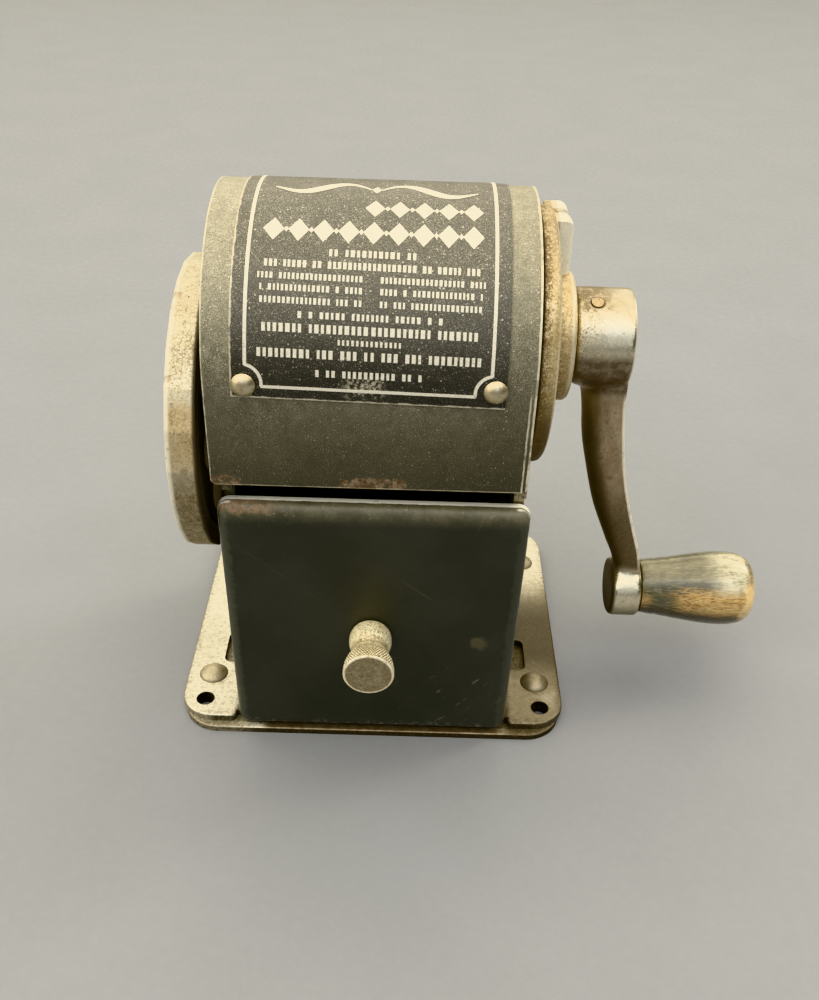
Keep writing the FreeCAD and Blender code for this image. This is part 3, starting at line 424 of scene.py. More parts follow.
# rubbed bare along the left and lower edges
arc = g.m_("ARCTAN2", g.sub(g.z, AX), g.mul(yr, -1.0))
pv = g.mul(g.add(arc, math.radians(1.0)), 28.86)
pu = g.sub(g.add(g.x, 25.4), g.mul(g.sub(pv, 33.5), 0.0073))
pv = g.add(pv, g.mul(g.add(g.x, 0.95), 0.0209))
brim = g.rng(g.add(g.mn(pu, pv), g.rng(g.noise(0.6, 4, 0.6, w=6), 0.3, 0.7, -0.12, 0.12)), 0.40, 0.16)
scuff = g.mx(g.mul(scuff, 0.8), g.mul(brim, g.rng(g.noise(0.5, 5, 0.7, w=7), 0.34, 0.52, 0.3, 1.0)))
col = g.mix(scuff, col, (0.62, 0.575, 0.44))
ro = g.add(g.rng(n_fine, 0.3, 0.7, 0.38, 0.50), g.mul(sp, 0.2))
h = g.add(g.mul(n_fine, 0.5), g.mul(g.mx(gr, sp), -0.5))
MATS["plate_black"] = g.done(col, g.mul(scuff, 0.3), ro, g.bump(h, 0.025), Specular_Tint=(1.0, 0.99, 0.93, 1.0))

g = Graph("plate_silver")
n1 = g.noise(0.8, 6, 0.7, w=2)
n2 = g.noise(4.2, 4, 0.7, w=4)
worn = g.rng(g.add(g.mul(n1, 0.55), g.mul(n2, 0.45)), 0.54, 0.66)
col = g.mix(g.mul(worn, 0.8), g.mix(g.rng(n2, 0.35, 0.65), (0.90, 0.865, 0.74), (0.70, 0.67, 0.56)), (0.24, 0.229, 0.185))
SILVER = g.done(col, g.mixf(worn, 0.15, 0.0), g.rng(n1, 0.3, 0.7, 0.42, 0.58), g.bump(n2, 0.02))


# ---- plated metal ---------------------------------------------------------------------------------
def granular(s, fac, scale, lo, hi, col, ro=0.72, met=0.45, w=0.0):
    """Dense fine grains where fac allows them: corrosion, and in a few places part of a painted shade."""
    g = s["g"]
    n = g.noise(scale, 4, 0.78, 0.2, w=w + 21.0)
    m = g.mul(g.rng(n, lo, hi), fac)
    over(s, m, col, ro, met)
    s["h"] = g.sub(s["h"], g.mul(m, 0.7))


def side_faces(g):
    """1 on upright faces, 0 on flat ones."""
    ge = g.node("ShaderNodeNewGeometry")
    nz = g.sep(ge.outputs["True Normal"])[2]
    return g.rng(g.ab(nz), 0.75, 0.35)


N_L, N_M, N_D = (0.80, 0.735, 0.545), (0.62, 0.55, 0.385), (0.36, 0.295, 0.18)
HOLES_Y = (-21.35, 40.45)


def hole_dark(s, r0, r1):
    """Painted shade inside the four screw holes, and a thin darker ring round them."""
    g = s["g"]
    ax = g.sub(g.ab(g.x), 38.1)
    best = None
    for hy in HOLES_Y:
        d = g.m_("SQRT", g.add(g.m_("POWER", ax, 2.0), g.m_("POWER", g.sub(g.y, YA + hy), 2.0)))
        m = g.rng(d, r1, r0)
        best = m if best is None else g.mx(best, m)
    over(s, best, srgb(20, 16, 11), 0.95, 0.0)


def foot_extra(s):
    g = s["g"]
    yr = g.sub(g.y, YA)
    right = g.rng(g.x, 5.0, 30.0)
    left = g.sub(1.0, right)
    # the crank-side foot is duller, rubbed in slanting lines, with a painted shadow of the crank across its middle
    hatch = g.mx(g.scratches((0, 0, 1), 40, 1.0, (0.16, 2.6, 1.0), 0.50, 0.66, w=4.0),
                 g.mul(g.scratches((0, 0, 1), 47, 1.0, (0.10, 3.6, 1.0), 0.54, 0.70, w=6.0), 0.8))
    shade = g.mul(g.rng(yr, 30.0, 8.0), g.rng(yr, -16.0, -3.0, 0.35, 1.0))
    dull_and_shadow = g.mul(right, g.mul(g.rng(yr, 34.0, 14.0, 0.35, 1.0), g.rng(g.add(s["n1"], g.mul(shade, 0.25)), 0.40, 0.62, 0.75, 0.98)))
    over(s, dull_and_shadow, g.mix(shade, (0.33, 0.295, 0.215), (0.072, 0.065, 0.050)), 0.46, 0.94)
    over(s, g.mul(g.mul(hatch, right), g.mul(g.sub(1.15, shade), 0.12)), (0.62, 0.56, 0.42), 0.40)
    s["h"] = g.add(s["h"], g.mul(g.mul(hatch, right), 0.2))
    # grey mottling of dulled plating
    mo = g.rng(g.add(g.mul(g.noise(0.9, 5, 0.75, w=31), 0.55), g.mul(g.noise(3.0, 3, 0.75, w=33), 0.45)), 0.45, 0.60)
    over(s, g.mul(mo, g.mixf(right, 0.80, 0.40)), g.mix(right, (0.34, 0.33, 0.262), (0.115, 0.103, 0.078)), 0.58, 0.8)
    fl = g.rng(g.noise(2.6, 3, 0.75, w=35), 0.60, 0.68)
    over(s, g.mul(fl, g.mixf(right, 0.55, 0.30)), g.mix(right, (0.92, 0.90, 0.76), (0.46, 0.42, 0.32)), 0.40)
    # upright walls darker, a little more on the left; a paler strip at the top front of the right wall
    wall = g.mul(g.rng(g.z, 3.6, 5.0), g.rng(g.ab(g.x), 29.7, 29.3))
    wc = g.mix(g.rng(s["n2"], 0.34, 0.62), (0.100, 0.088, 0.052), (0.056, 0.049, 0.030))
    over(s, g.mul(wall, g.rng(g.x, -5.0, 5.0, 0.95, 0.82)), wc, 0.5, 0.35)
    up_edge = g.mul(g.rng(g.x, 26.0, 27.0), g.mul(g.rng(g.z, 61.5, 63.0), g.rng(yr, -23.5, -24.4)))
    over(s, g.mul(up_edge, 0.75), (0.60, 0.52, 0.37), 0.45, 0.9)
    # darker where the wall turns out into the foot; painted shade in the slot and on the upright edges of the foot
    nook = g.mul(g.rng(g.ab(g.sub(g.ab(g.x), 29.4)), 2.2, 0.3), g.rng(g.z, 8.0, 3.6))
    over(s, g.mul(nook, g.rng(s["n2"], 0.32, 0.58, 0.35, 0.95)), srgb(40, 32, 21), 0.85, 0.1)
    side_shade = g.mul(side_faces(g), g.rng(g.z, 3.10, 2.85))
    sc = g.mix(g.rng(g.noise(1.3, 5, 0.75, w=37), 0.42, 0.62), g.mix(right, (0.40, 0.375, 0.285), (0.16, 0.142, 0.10)), g.mix(right, (0.17, 0.152, 0.108), (0.055, 0.046, 0.029)))
    sc = g.mix(g.rng(g.ab(g.x), 36.6, 35.6), sc, (0.030, 0.024, 0.015))
    over(s, g.mul(side_shade, 0.95), sc, 0.6, 0.5)
    # pits and dull grey along the edges of the feet
    fe = g.mx(g.rng(yr, -23.6, -26.2), g.rng(g.ab(g.x), 41.2, 43.2))
    over(s, g.mul(fe, g.rng(g.noise(1.4, 5, 0.74, w=17), 0.46, 0.60, 0.05, 0.75)), g.mix(right, (0.34, 0.315, 0.23), (0.13, 0.105, 0.07)), 0.62, 0.7)
    pt = g.mul(fe, g.rng(g.noise(2.2, 4, 0.74, w=19), 0.60, 0.66))
    over(s, g.mul(pt, 0.8), (0.12, 0.088, 0.05), 0.8, 0.3)
    s["h"] = g.sub(s["h"], g.mul(pt, 0.8))
    hole_dark(s, 1.95, 2.15)


MATS["foot_nickel"] = plated("foot_nickel", (0.86, 0.838, 0.715), (0.75, 0.722, 0.60), (0.50, 0.455, 0.335), (0.36, 0.48), 0.07, (0.9, 0.15, 0.35), 1.0, 0.30, 0.06, foot_extra)


def base_extra(s):
    g = s["g"]
    yr = g.sub(g.y, YA)
    # painted shade over what lies under the machine; the strip ahead of the drawer brown, with a rubbed patch painted
    # pale as a highlight
    under = g.mul(g.rng(g.z, 1.30, 1.42), g.mul(g.rng(yr, -26.9, -26.3), g.rng(g.ab(g.x), 36.5, 35.0)))
    over(s, g.mul(under, 0.92), srgb(38, 30, 20), 0.85, 0.1)
    strip = g.mul(g.rng(yr, -26.3, -26.8), g.rng(g.z, 1.15, 1.35))
    over(s, g.mul(strip, 0.92), g.mix(g.rng(s["n2"], 0.36, 0.62), (0.40, 0.335, 0.245), (0.22, 0.175, 0.115)), 0.52, 0.75)
    patch = g.mul(g.mul(strip, g.rng(g.ab(g.add(g.x, 28.0)), 5.5, 2.5)), g.rng(g.noise(0.8, 5, 0.7, w=5), 0.32, 0.48))
    over(s, g.mul(patch, 0.95), (0.93, 0.88, 0.72), 0.42, 0.15)
    side_shade = side_faces(g)
    lft = g.rng(g.x, -24.0, -31.0)
    rgt = g.rng(g.x, 27.0, 32.0)
    mot = g.rng(g.noise(1.3, 5, 0.75, w=37), 0.42, 0.62)
    lip = g.mul(g.mx(lft, rgt), g.rng(g.z, 1.20, 1.40))
    over(s, g.mul(lip, 0.9), g.mix(rgt, g.mix(mot, (0.40, 0.375, 0.285), (0.18, 0.16, 0.112)), g.mix(mot, (0.17, 0.15, 0.105), (0.065, 0.054, 0.035))), 0.58, 0.6)
    # painted shade on the upright edges of the plate, darkest at the left, with grains
    sc = g.mix(lft, (0.034, 0.027, 0.016), g.mix(mot, (0.26, 0.24, 0.178), (0.10, 0.088, 0.06)))
    over(s, g.mul(side_shade, g.rng(s["n2"], 0.3, 0.62, 0.90, 0.99)), sc, 0.62, 0.35)
    granular(s, g.mul(side_shade, 0.5), 2.4, 0.57, 0.66, (0.26, 0.215, 0.14), 0.55, 0.6)
    granular(s, g.mul(side_shade, 0.7), 1.2, 0.58, 0.64, (0.022, 0.017, 0.010), 0.8, 0.1, 7.0)
    hole_dark(s, 1.95, 2.15)


MATS["base_steel"] = plated("base_steel", (0.40, 0.35, 0.25), (0.28, 0.235, 0.16), (0.16, 0.125, 0.078), (0.42, 0.55), 0.09, (0.8, 0.2, 0.5), 2.0, 0.5, 0.06, base_extra)


def rivet_extra(s):
    g = s["g"]
    right = g.rng(g.x, 5.0, 30.0)
    over(s, g.mul(right, g.rng(s["n1"], 0.36, 0.64, 0.6, 0.9)), (0.235, 0.205, 0.145), 0.48, 0.85)
    foot = g.rng(g.z, 3.80, 3.25)
    over(s, g.mul(foot, 0.75), (0.17, 0.135, 0.085), 0.65, 0.6)
    granular(s, 0.6, 2.4, 0.54, 0.64, (0.30, 0.26, 0.18), 0.62, 0.7, 2.0)


MATS["rivet_nickel"] = plated("rivet_nickel", (0.70, 0.65, 0.50), (0.54, 0.49, 0.36), N_D, (0.46, 0.58), 0.25, None, 3.0, 0.4, 0.05, rivet_extra)


def dial_extra(s):
    g = s["g"]
    dy, dz = g.sub(g.y, YA), g.sub(g.z, DIAL_Z)
    r = g.m_("SQRT", g.add(g.m_("POWER", dy, 2.0), g.m_("POWER", dz, 2.0)))
    rim = g.rng(r, 27.5, 29.2)
    # painted shade: the lower rim darker, the band above it browner
    low = g.mul(rim, g.rng(dz, 7.0, -5.0))
    over(s, g.mul(low, g.rng(s["n2"], 0.3, 0.62, 0.60, 0.92)), (0.185, 0.146, 0.092), 0.46, 0.92)
    mid = g.mul(rim, g.mul(g.rng(dz, 15.5, 13.0), g.rng(dz, 0.0, 5.0)))
    over(s, g.mul(mid, g.rng(s["n2"], 0.3, 0.62, 0.55, 0.85)), (0.60, 0.455, 0.255), 0.44, 0.95)
    # brown mottling of worn plating, fine and close
    patch = g.rng(g.noise(0.12, 4, 0.6, w=6), 0.34, 0.62, 0.35, 1.0)
    granular(s, g.mul(rim, 0.52), 3.0, 0.47, 0.58, (0.64, 0.56, 0.385), 0.46, 0.9, 21.0)
    granular(s, g.mul(rim, 0.42), 1.9, 0.52, 0.60, (0.47, 0.385, 0.235), 0.52, 0.8, 22.0)
    granular(s, g.mul(rim, g.mul(patch, 0.66)), 1.5, 0.50, 0.60, (0.38, 0.295, 0.165), 0.55, 0.8, 8.0)
    granular(s, g.mul(rim, g.mul(patch, 0.62)), 2.3, 0.53, 0.61, (0.25, 0.170, 0.080), 0.6, 0.6)
    # darker grains on the lower rim, part of the painted shade
    granular(s, g.mul(low, 0.7), 1.0, 0.56, 0.66, (0.16, 0.115, 0.065), 0.7, 0.4, 3.0)
    # painted highlight along the left edge of the rim
    fe = g.mul(g.rng(g.x, -37.2, -37.9), g.rng(r, 27.9, 28.7))
    over(s, g.mul(fe, 0.9), (0.95, 0.90, 0.73), 0.40, 0.45)
    # turned rings and finger dirt on the flat face
    face = g.mul(g.rng(g.x, -37.6, -38.3), g.rng(r, 29.0, 27.6))
    over(s, g.mul(face, g.rng(s["n2"], 0.3, 0.66, 0.62, 0.90)), (0.60, 0.565, 0.475), 0.30, 0.97)
    rings = g.m_("SINE", g.mul(r, 11.0))
    s["h"] = g.add(s["h"], g.mul(g.mul(rings, 0.22), face))
    ring_t = g.noise(0.9, 3, 0.5, vec=g.comb(r, 0.0, 0.0), w=2)
    over(s, g.mul(face, g.rng(ring_t, 0.4, 0.65, 0.0, 0.34)), (0.40, 0.36, 0.275), 0.42)
    blot = g.rng(g.add(g.mul(g.noise(0.22, 6, 0.68, w=26), 0.6), g.mul(g.noise(1.1, 5, 0.72, w=27), 0.4)), 0.52, 0.62)
    over(s, g.mul(g.mul(face, blot), 0.6), (0.40, 0.315, 0.195), 0.56, 0.8)
    hub = g.mul(face, g.rng(r, 9.0, 5.5))
    over(s, g.mul(hub, g.rng(s["n2"], 0.35, 0.6, 0.2, 0.8)), srgb(64, 50, 34), 0.7, 0.3)
    # painted shade in the bores and on the back face toward the casing
    bore_shade = g.mul(g.rng(g.x, -38.1, -37.5), g.rng(r, 26.6, 25.6))
    over(s, g.mul(bore_shade, 0.95), (0.030, 0.023, 0.014), 0.85, 0.1)
    inner = g.rng(g.x, -33.6, -32.95)
    over(s, g.mul(inner, 0.93), (0.040, 0.031, 0.019), 0.8, 0.1)


MATS["dial_nickel"] = plated("dial_nickel", (0.93, 0.888, 0.705), (0.82, 0.760, 0.575), (0.58, 0.49, 0.325), (0.32, 0.44), 0.10, (0.75, 0.20, 0.5), 4.0, 0.5, 0.06, dial_extra, 0.40, 0.60, soft=0.55)


def bell_extra(s):
    g = s["g"]
    dy, dz = g.sub(g.y, YA), g.sub(g.z, AX)
    r = g.m_("SQRT", g.add(g.m_("POWER", dy, 2.0), g.m_("POWER", dz, 2.0)))
    rim = g.mul(g.rng(r, 22.6, 23.2), g.rng(g.x, 33.2, 32.9))
    bos = g.mul(g.rng(r, 13.2, 12.6), g.rng(g.x, 33.0, 33.4))
    body = g.mx(rim, bos)
    soft = g.noise(0.55, 5, 0.68, w=11)
    fine = g.noise(3.4, 4, 0.74, w=12)
    # golden where the plating has gone, cream along the outer edges (worn metal and painted highlight), brown in the
    # corner by the casing
    over(s, g.mul(body, 0.95), g.mix(g.rng(soft, 0.36, 0.64), (0.93, 0.785, 0.485), (0.66, 0.51, 0.27)), 0.42, 0.92)
    topr = g.mul(body, g.rng(dz, 16.0, 24.0))
    over(s, g.mul(topr, g.rng(soft, 0.34, 0.60, 0.55, 0.90)), (0.42, 0.345, 0.225), 0.55, 0.8)
    # painted shade: the lower rim darker
    low_rim_shade = g.mul(body, g.rng(g.add(dz, g.rng(soft, 0.3, 0.7, -3.0, 3.0)), 6.0, -9.0))
    over(s, g.mul(low_rim_shade, g.mixf(bos, 0.92, 0.42)), g.mix(g.rng(soft, 0.36, 0.62), (0.175, 0.135, 0.088), (0.110, 0.084, 0.054)), 0.52, 0.85)
    depth = g.mx(g.mul(rim, g.rng(g.x, 31.5, 29.9)), g.mul(bos, g.rng(g.x, 36.6, 33.6)))
    brown = g.mul(depth, g.rng(g.add(g.mul(soft, 0.5), g.mul(fine, 0.5)), 0.40, 0.56))
    over(s, g.mul(brown, 0.92), (0.165, 0.105, 0.046), 0.68, 0.35)
    grains = g.mul(body, g.rng(fine, 0.48, 0.60))
    over(s, g.mul(grains, g.rng(depth, 0, 1, 0.40, 0.90)), (0.27, 0.185, 0.085), 0.60, 0.55)
    g2 = g.noise(2.0, 4, 0.76, w=14)
    over(s, g.mul(g.mul(body, g.rng(g2, 0.55, 0.63)), 0.65), (0.24, 0.160, 0.075), 0.66, 0.4)
    over(s, g.mul(g.mul(body, g.rng(g2, 0.44, 0.37)), g.rng(dz, -10.0, 4.0, 0.15, 0.75)), (0.94, 0.84, 0.60), 0.36, 0.9)
    s["h"] = g.sub(s["h"], g.mul(g.mx(grains, brown), 0.7))
    # cream lines on the outer edges, stronger toward the top: worn metal and painted edge highlight
    edge = g.mul(g.rng(g.x, 32.2, 32.55), g.mul(g.rng(r, 22.4, 23.2), g.rng(g.x, 33.4, 33.1)))
    edge = g.mx(edge, g.mul(g.rng(g.ab(g.sub(r, 12.3)), 0.95, 0.55), g.rng(g.x, 36.3, 36.7)))
    over(s, g.mul(edge, g.rng(dz, -14.0, 4.0, 0.20, 0.82)), (0.92, 0.83, 0.615), 0.34, 0.9)
    nook = g.mul(g.rng(g.ab(g.sub(r, 13.0)), 2.2, 0.3), g.rng(g.x, 34.4, 33.0))
    over(s, g.mul(nook, g.rng(s["n2"], 0.34, 0.6, 0.3, 0.95)), srgb(54, 40, 26), 0.85, 0.1)
    # the fin painted pale cream as a highlight
    fin = g.mul(g.rng(g.x, 33.2, 33.6), g.rng(r, 12.9, 13.3))
    over(s, g.mul(fin, 0.97), (0.97, 0.925, 0.765), 0.42, 0.15)
    over(s, g.mul(g.mul(fin, g.rng(g2, 0.52, 0.62)), 0.4), (0.62, 0.51, 0.32), 0.5)
    # painted shade in the gap under the casing edge
    gap_shade = g.rng(g.x, 30.0, 29.4)
    over(s, g.mul(gap_shade, 0.95), srgb(22, 17, 11), 0.95, 0.0)


MATS["bell_nickel"] = plated("bell_nickel", (0.80, 0.71, 0.50), (0.64, 0.535, 0.335), (0.42, 0.32, 0.175), (0.34, 0.5), 0.10, None, 5.0, 0.5, 0.06, bell_extra, 0.38, 0.58)


ARM = ((23.1, 60.5, 3.1), (27.0, 60.4, 3.3), (31.0, 59.9, 3.5), (34.5, 59.2, 3.7), (40.3, 57.3, 4.05), (46.0, 55.5, 4.4), (52.0, 53.8, 4.75), (58.0, 52.4, 5.1),
       (62.0, 51.7, 5.4), (67.0, 50.9, 5.7), (71.8, 50.3, 5.95), (75.0, 50.05, 6.2), (80.0, 49.75, 6.8), (83.1, 49.6, 7.6))


def arm_corner(g):
    """Distance from the two outer corners of the arm's section, from its outline along z."""
    n = g.node("ShaderNodeValToRGB")
    el = n.color_ramp.elements
    el.remove(el[1])
    el[0].position = (ARM[0][0] - 20.0) / 70.0
    for i, (z, x1, hw) in enumerate(ARM):
        e = el[0] if i == 0 else el.new((z - 20.0) / 70.0)
        e.color = ((x1 - 48.0) / 16.0, hw / 10.0, 0.0, 1.0)
    g.put(n.inputs[0], g.rng(g.z, 20.0, 90.0, 0.0, 1.0, False))
    cr, cg, cb = g.seprgb(n.outputs[0])
    dx = g.sub(g.x, g.add(48.0, g.mul(cr, 16.0)))
    dy = g.sub(g.ab(g.sub(g.y, YA)), g.mul(cg, 10.0))
    return g.m_("SQRT", g.add(g.m_("POWER", dx, 2.0), g.m_("POWER", dy, 2.0)))


def crank_extra(s):
    g = s["g"]
    hub = g.rng(g.z, 74.0, 77.5)
    boss = g.rng(g.z, 31.0, 28.5)
    arm = g.sub(1.0, g.mx(hub, boss))
    streak = g.noise(0.5, 5, 0.62, vec=g.vmul(g.P, (1.0, 1.0, 0.30)), w=3)
    over(s, g.mul(arm, 0.97), g.mix(g.rng(streak, 0.34, 0.66), (0.60, 0.49, 0.345), (0.44, 0.355, 0.24)), 0.44, 0.96)
    # painted shade: the lower arm darker
    low_arm_shade = g.mul(arm, g.rng(g.z, 62.0, 40.0))
    over(s, g.mul(low_arm_shade, 0.85), (0.185, 0.152, 0.105), 0.48, 0.95)
    outer = g.mul(arm, g.mul(g.rng(g.z, 48.0, 62.0), g.rng(g.noise(0.35, 5, 0.65, w=14), 0.42, 0.62)))
    over(s, g.mul(outer, g.rng(g.x, 46.0, 51.0, 0.0, 0.6)), (0.44, 0.30, 0.205), 0.48, 0.95)
    granular(s, g.mul(arm, 0.55), 2.8, 0.54, 0.66, (0.56, 0.49, 0.35), 0.42, 0.95, 2.0)
    granular(s, g.mul(arm, 0.5), 1.4, 0.56, 0.66, (0.13, 0.10, 0.06), 0.6, 0.8, 12.0)
    s["h"] = g.add(s["h"], g.mul(arm, g.mul(g.noise(1.6, 4, 0.66, w=19), 0.8)))
    # painted shade down the inner side of the arm
    arm_inner_shade = g.mul(arm, g.rng(g.add(g.x, g.mul(g.sub(g.z, 75.0), 0.29)), 43.2, 41.4))
    over(s, g.mul(arm_inner_shade, 0.5), (0.115, 0.09, 0.055), 0.55, 0.9)
    # the two outer corners painted bright: an edge highlight over rubbed metal
    e = g.mul(g.rng(arm_corner(g), 0.84, 0.52), g.mul(g.rng(g.z, 81.0, 77.0), g.rng(g.z, 28.0, 33.0)))
    over(s, g.mul(e, g.rng(s["n2"], 0.30, 0.52, 0.45, 0.90)), (1.0, 0.94, 0.76), 0.34, 0.12)
    # brown grains over the inner end of the hub, dull top, underside painted brown as shade
    inner = g.mul(hub, g.rng(g.x, 45.5, 40.0))
    granular(s, g.mul(inner, g.rng(g.noise(0.3, 4, 0.6, w=8), 0.34, 0.58, 0.35, 1.0)), 2.6, 0.50, 0.60, (0.27, 0.18, 0.085), 0.65, 0.5, 1.0)
    granular(s, g.mul(hub, 0.35), 2.2, 0.60, 0.68, (0.40, 0.31, 0.17), 0.5, 0.7, 4.0)
    dirt = g.rng(g.add(g.mul(s["n2"], 0.6), g.mul(g.noise(2.4, 4, 0.72, w=23), 0.4)), 0.36, 0.58)
    top = g.mul(hub, g.rng(g.add(g.z, g.rng(s["n2"], 0.3, 0.7, -0.5, 0.5)), AX + 7.5, AX + 8.8))
    over(s, g.mul(g.mul(top, g.rng(g.x, 47.5, 42.5, 0.48, 0.92)), g.rng(dirt, 0, 1, 0.60, 0.96)), g.mix(dirt, (0.29, 0.235, 0.150), (0.175, 0.135, 0.080)), 0.5, 0.8)
    # painted shade: the hub's lower half brown
    low = g.mul(hub, g.rng(g.z, AX + 1.8, AX - 1.0))
    over(s, g.mul(low, g.rng(s["n2"], 0.34, 0.62, 0.75, 0.96)), g.mix(g.rng(streak, 0.36, 0.62), (0.190, 0.156, 0.116), (0.165, 0.119, 0.086)), 0.34, 0.95)
    hr = g.m_("SQRT", g.add(g.m_("POWER", g.sub(g.y, YA), 2.0), g.m_("POWER", g.sub(g.z, AX), 2.0)))
    # painted highlight along the lower edge of the hub's end
    end = g.mul(g.rng(g.x, 49.0, 49.35), g.mul(g.rng(hr, 9.0, 9.4), g.rng(g.z, AX - 7.0, AX - 3.0)))
    over(s, g.mul(end, 0.85), (0.95, 0.90, 0.72), 0.34, 0.6)
    # faint worn outline round the cross pin
    pd = g.m_("SQRT", g.add(g.m_("POWER", g.sub(g.x, 41.9), 2.0), g.m_("POWER", g.sub(g.y, YA - 3.7), 2.0)))
    mark = g.mul(g.rng(g.ab(g.sub(g.add(pd, g.rng(s["n2"], 0.3, 0.7, -0.35, 0.35)), 1.30)), 0.30, 0.08), g.rng(g.z, AX + 6.5, AX + 8.0))
    over(s, g.mul(mark, 0.55), (0.10, 0.073, 0.042), 0.75, 0.3)
    # painted shade: the lower boss darker
    bl = g.mul(boss, g.rng(g.z, ZK + 0.5, ZK - 4.5))
    over(s, g.mul(bl, 0.8), (0.20, 0.172, 0.12), 0.44)
    granular(s, g.mul(boss, 0.55), 2.0, 0.58, 0.67, (0.36, 0.27, 0.14), 0.6, 0.6, 6.0)
    # painted shade on the end face of the boss
    be = g.mul(boss, g.rng(g.x, 55.0, 54.1))
    over(s, g.mul(be, 0.9), (0.075, 0.06, 0.04), 0.6, 0.75)


MATS["crank_nickel"] = plated("crank_nickel", (0.88, 0.815, 0.63), (0.75, 0.675, 0.495), (0.48, 0.40, 0.26), (0.18, 0.30), 0.09, (0.8, 0.10, 0.18), 6.0, 0.35, 0.04, crank_extra)
MATS["steel_parts"] = plated("steel_parts", (0.62, 0.60, 0.55), (0.46, 0.43, 0.37), (0.26, 0.22, 0.17), (0.3, 0.45), 0.2, (1.1, 0.2, 0.3), 7.0)
MATS["screw_steel"] = plated("screw_steel", (0.60, 0.55, 0.45), (0.42, 0.37, 0.28), (0.22, 0.18, 0.12), (0.34, 0.5), 0.3, (1.4, 0.22, 0.4), 8.0)
MATS["spring_steel"] = plated("spring_steel", (0.30, 0.28, 0.25), (0.20, 0.18, 0.15), (0.10, 0.08, 0.055), (0.36, 0.52), 0.2, (1.1, 0.2, 0.3), 9.0)
MATS["cutter_steel"] = plated("cutter_steel", (0.58, 0.58, 0.57), (0.42, 0.41, 0.39), (0.26, 0.23, 0.19), (0.26, 0.42), 0.25, (1.2, 0.2, 0.25), 10.0)
MATS["gear_iron"] = plated("gear_iron", (0.34, 0.33, 0.31), (0.24, 0.225, 0.205), (0.14, 0.12, 0.10), (0.42, 0.6), 0.2, (1.0, 0.22, 0.4), 11.0)
MATS["bush_brass"] = plated("bush_brass", (0.74, 0.56, 0.25), (0.56, 0.40, 0.17), (0.32, 0.21, 0.09), (0.3, 0.5), 0.2, (1.1, 0.2, 0.3), 12.0)
MATS["drawer_steel"] = plated("drawer_steel", (0.48, 0.46, 0.41), (0.36, 0.33, 0.28), (0.22, 0.18, 0.13), (0.4, 0.56), 0.06, (0.7, 0.2, 0.4), 13.0)
PIN_STEEL = plated("cross_pin", (0.48, 0.39, 0.25), (0.35, 0.275, 0.17), (0.19, 0.14, 0.08), (0.36, 0.5), 0.4, (1.6, 0.22, 0.5), 17.0)


def pin_extra(s):
    g = s["g"]
    over(s, g.rng(s["n2"], 0.42, 0.62, 0.0, 0.45), (0.50, 0.42, 0.27), 0.45)


MATS["plate_pins"] = plated("plate_pins", (0.80, 0.73, 0.545), (0.62, 0.545, 0.375), (0.36, 0.29, 0.18), (0.22, 0.36), 0.5, (2.2, 0.26, 0.35), 14.0, 0.4, 0.05, pin_extra)


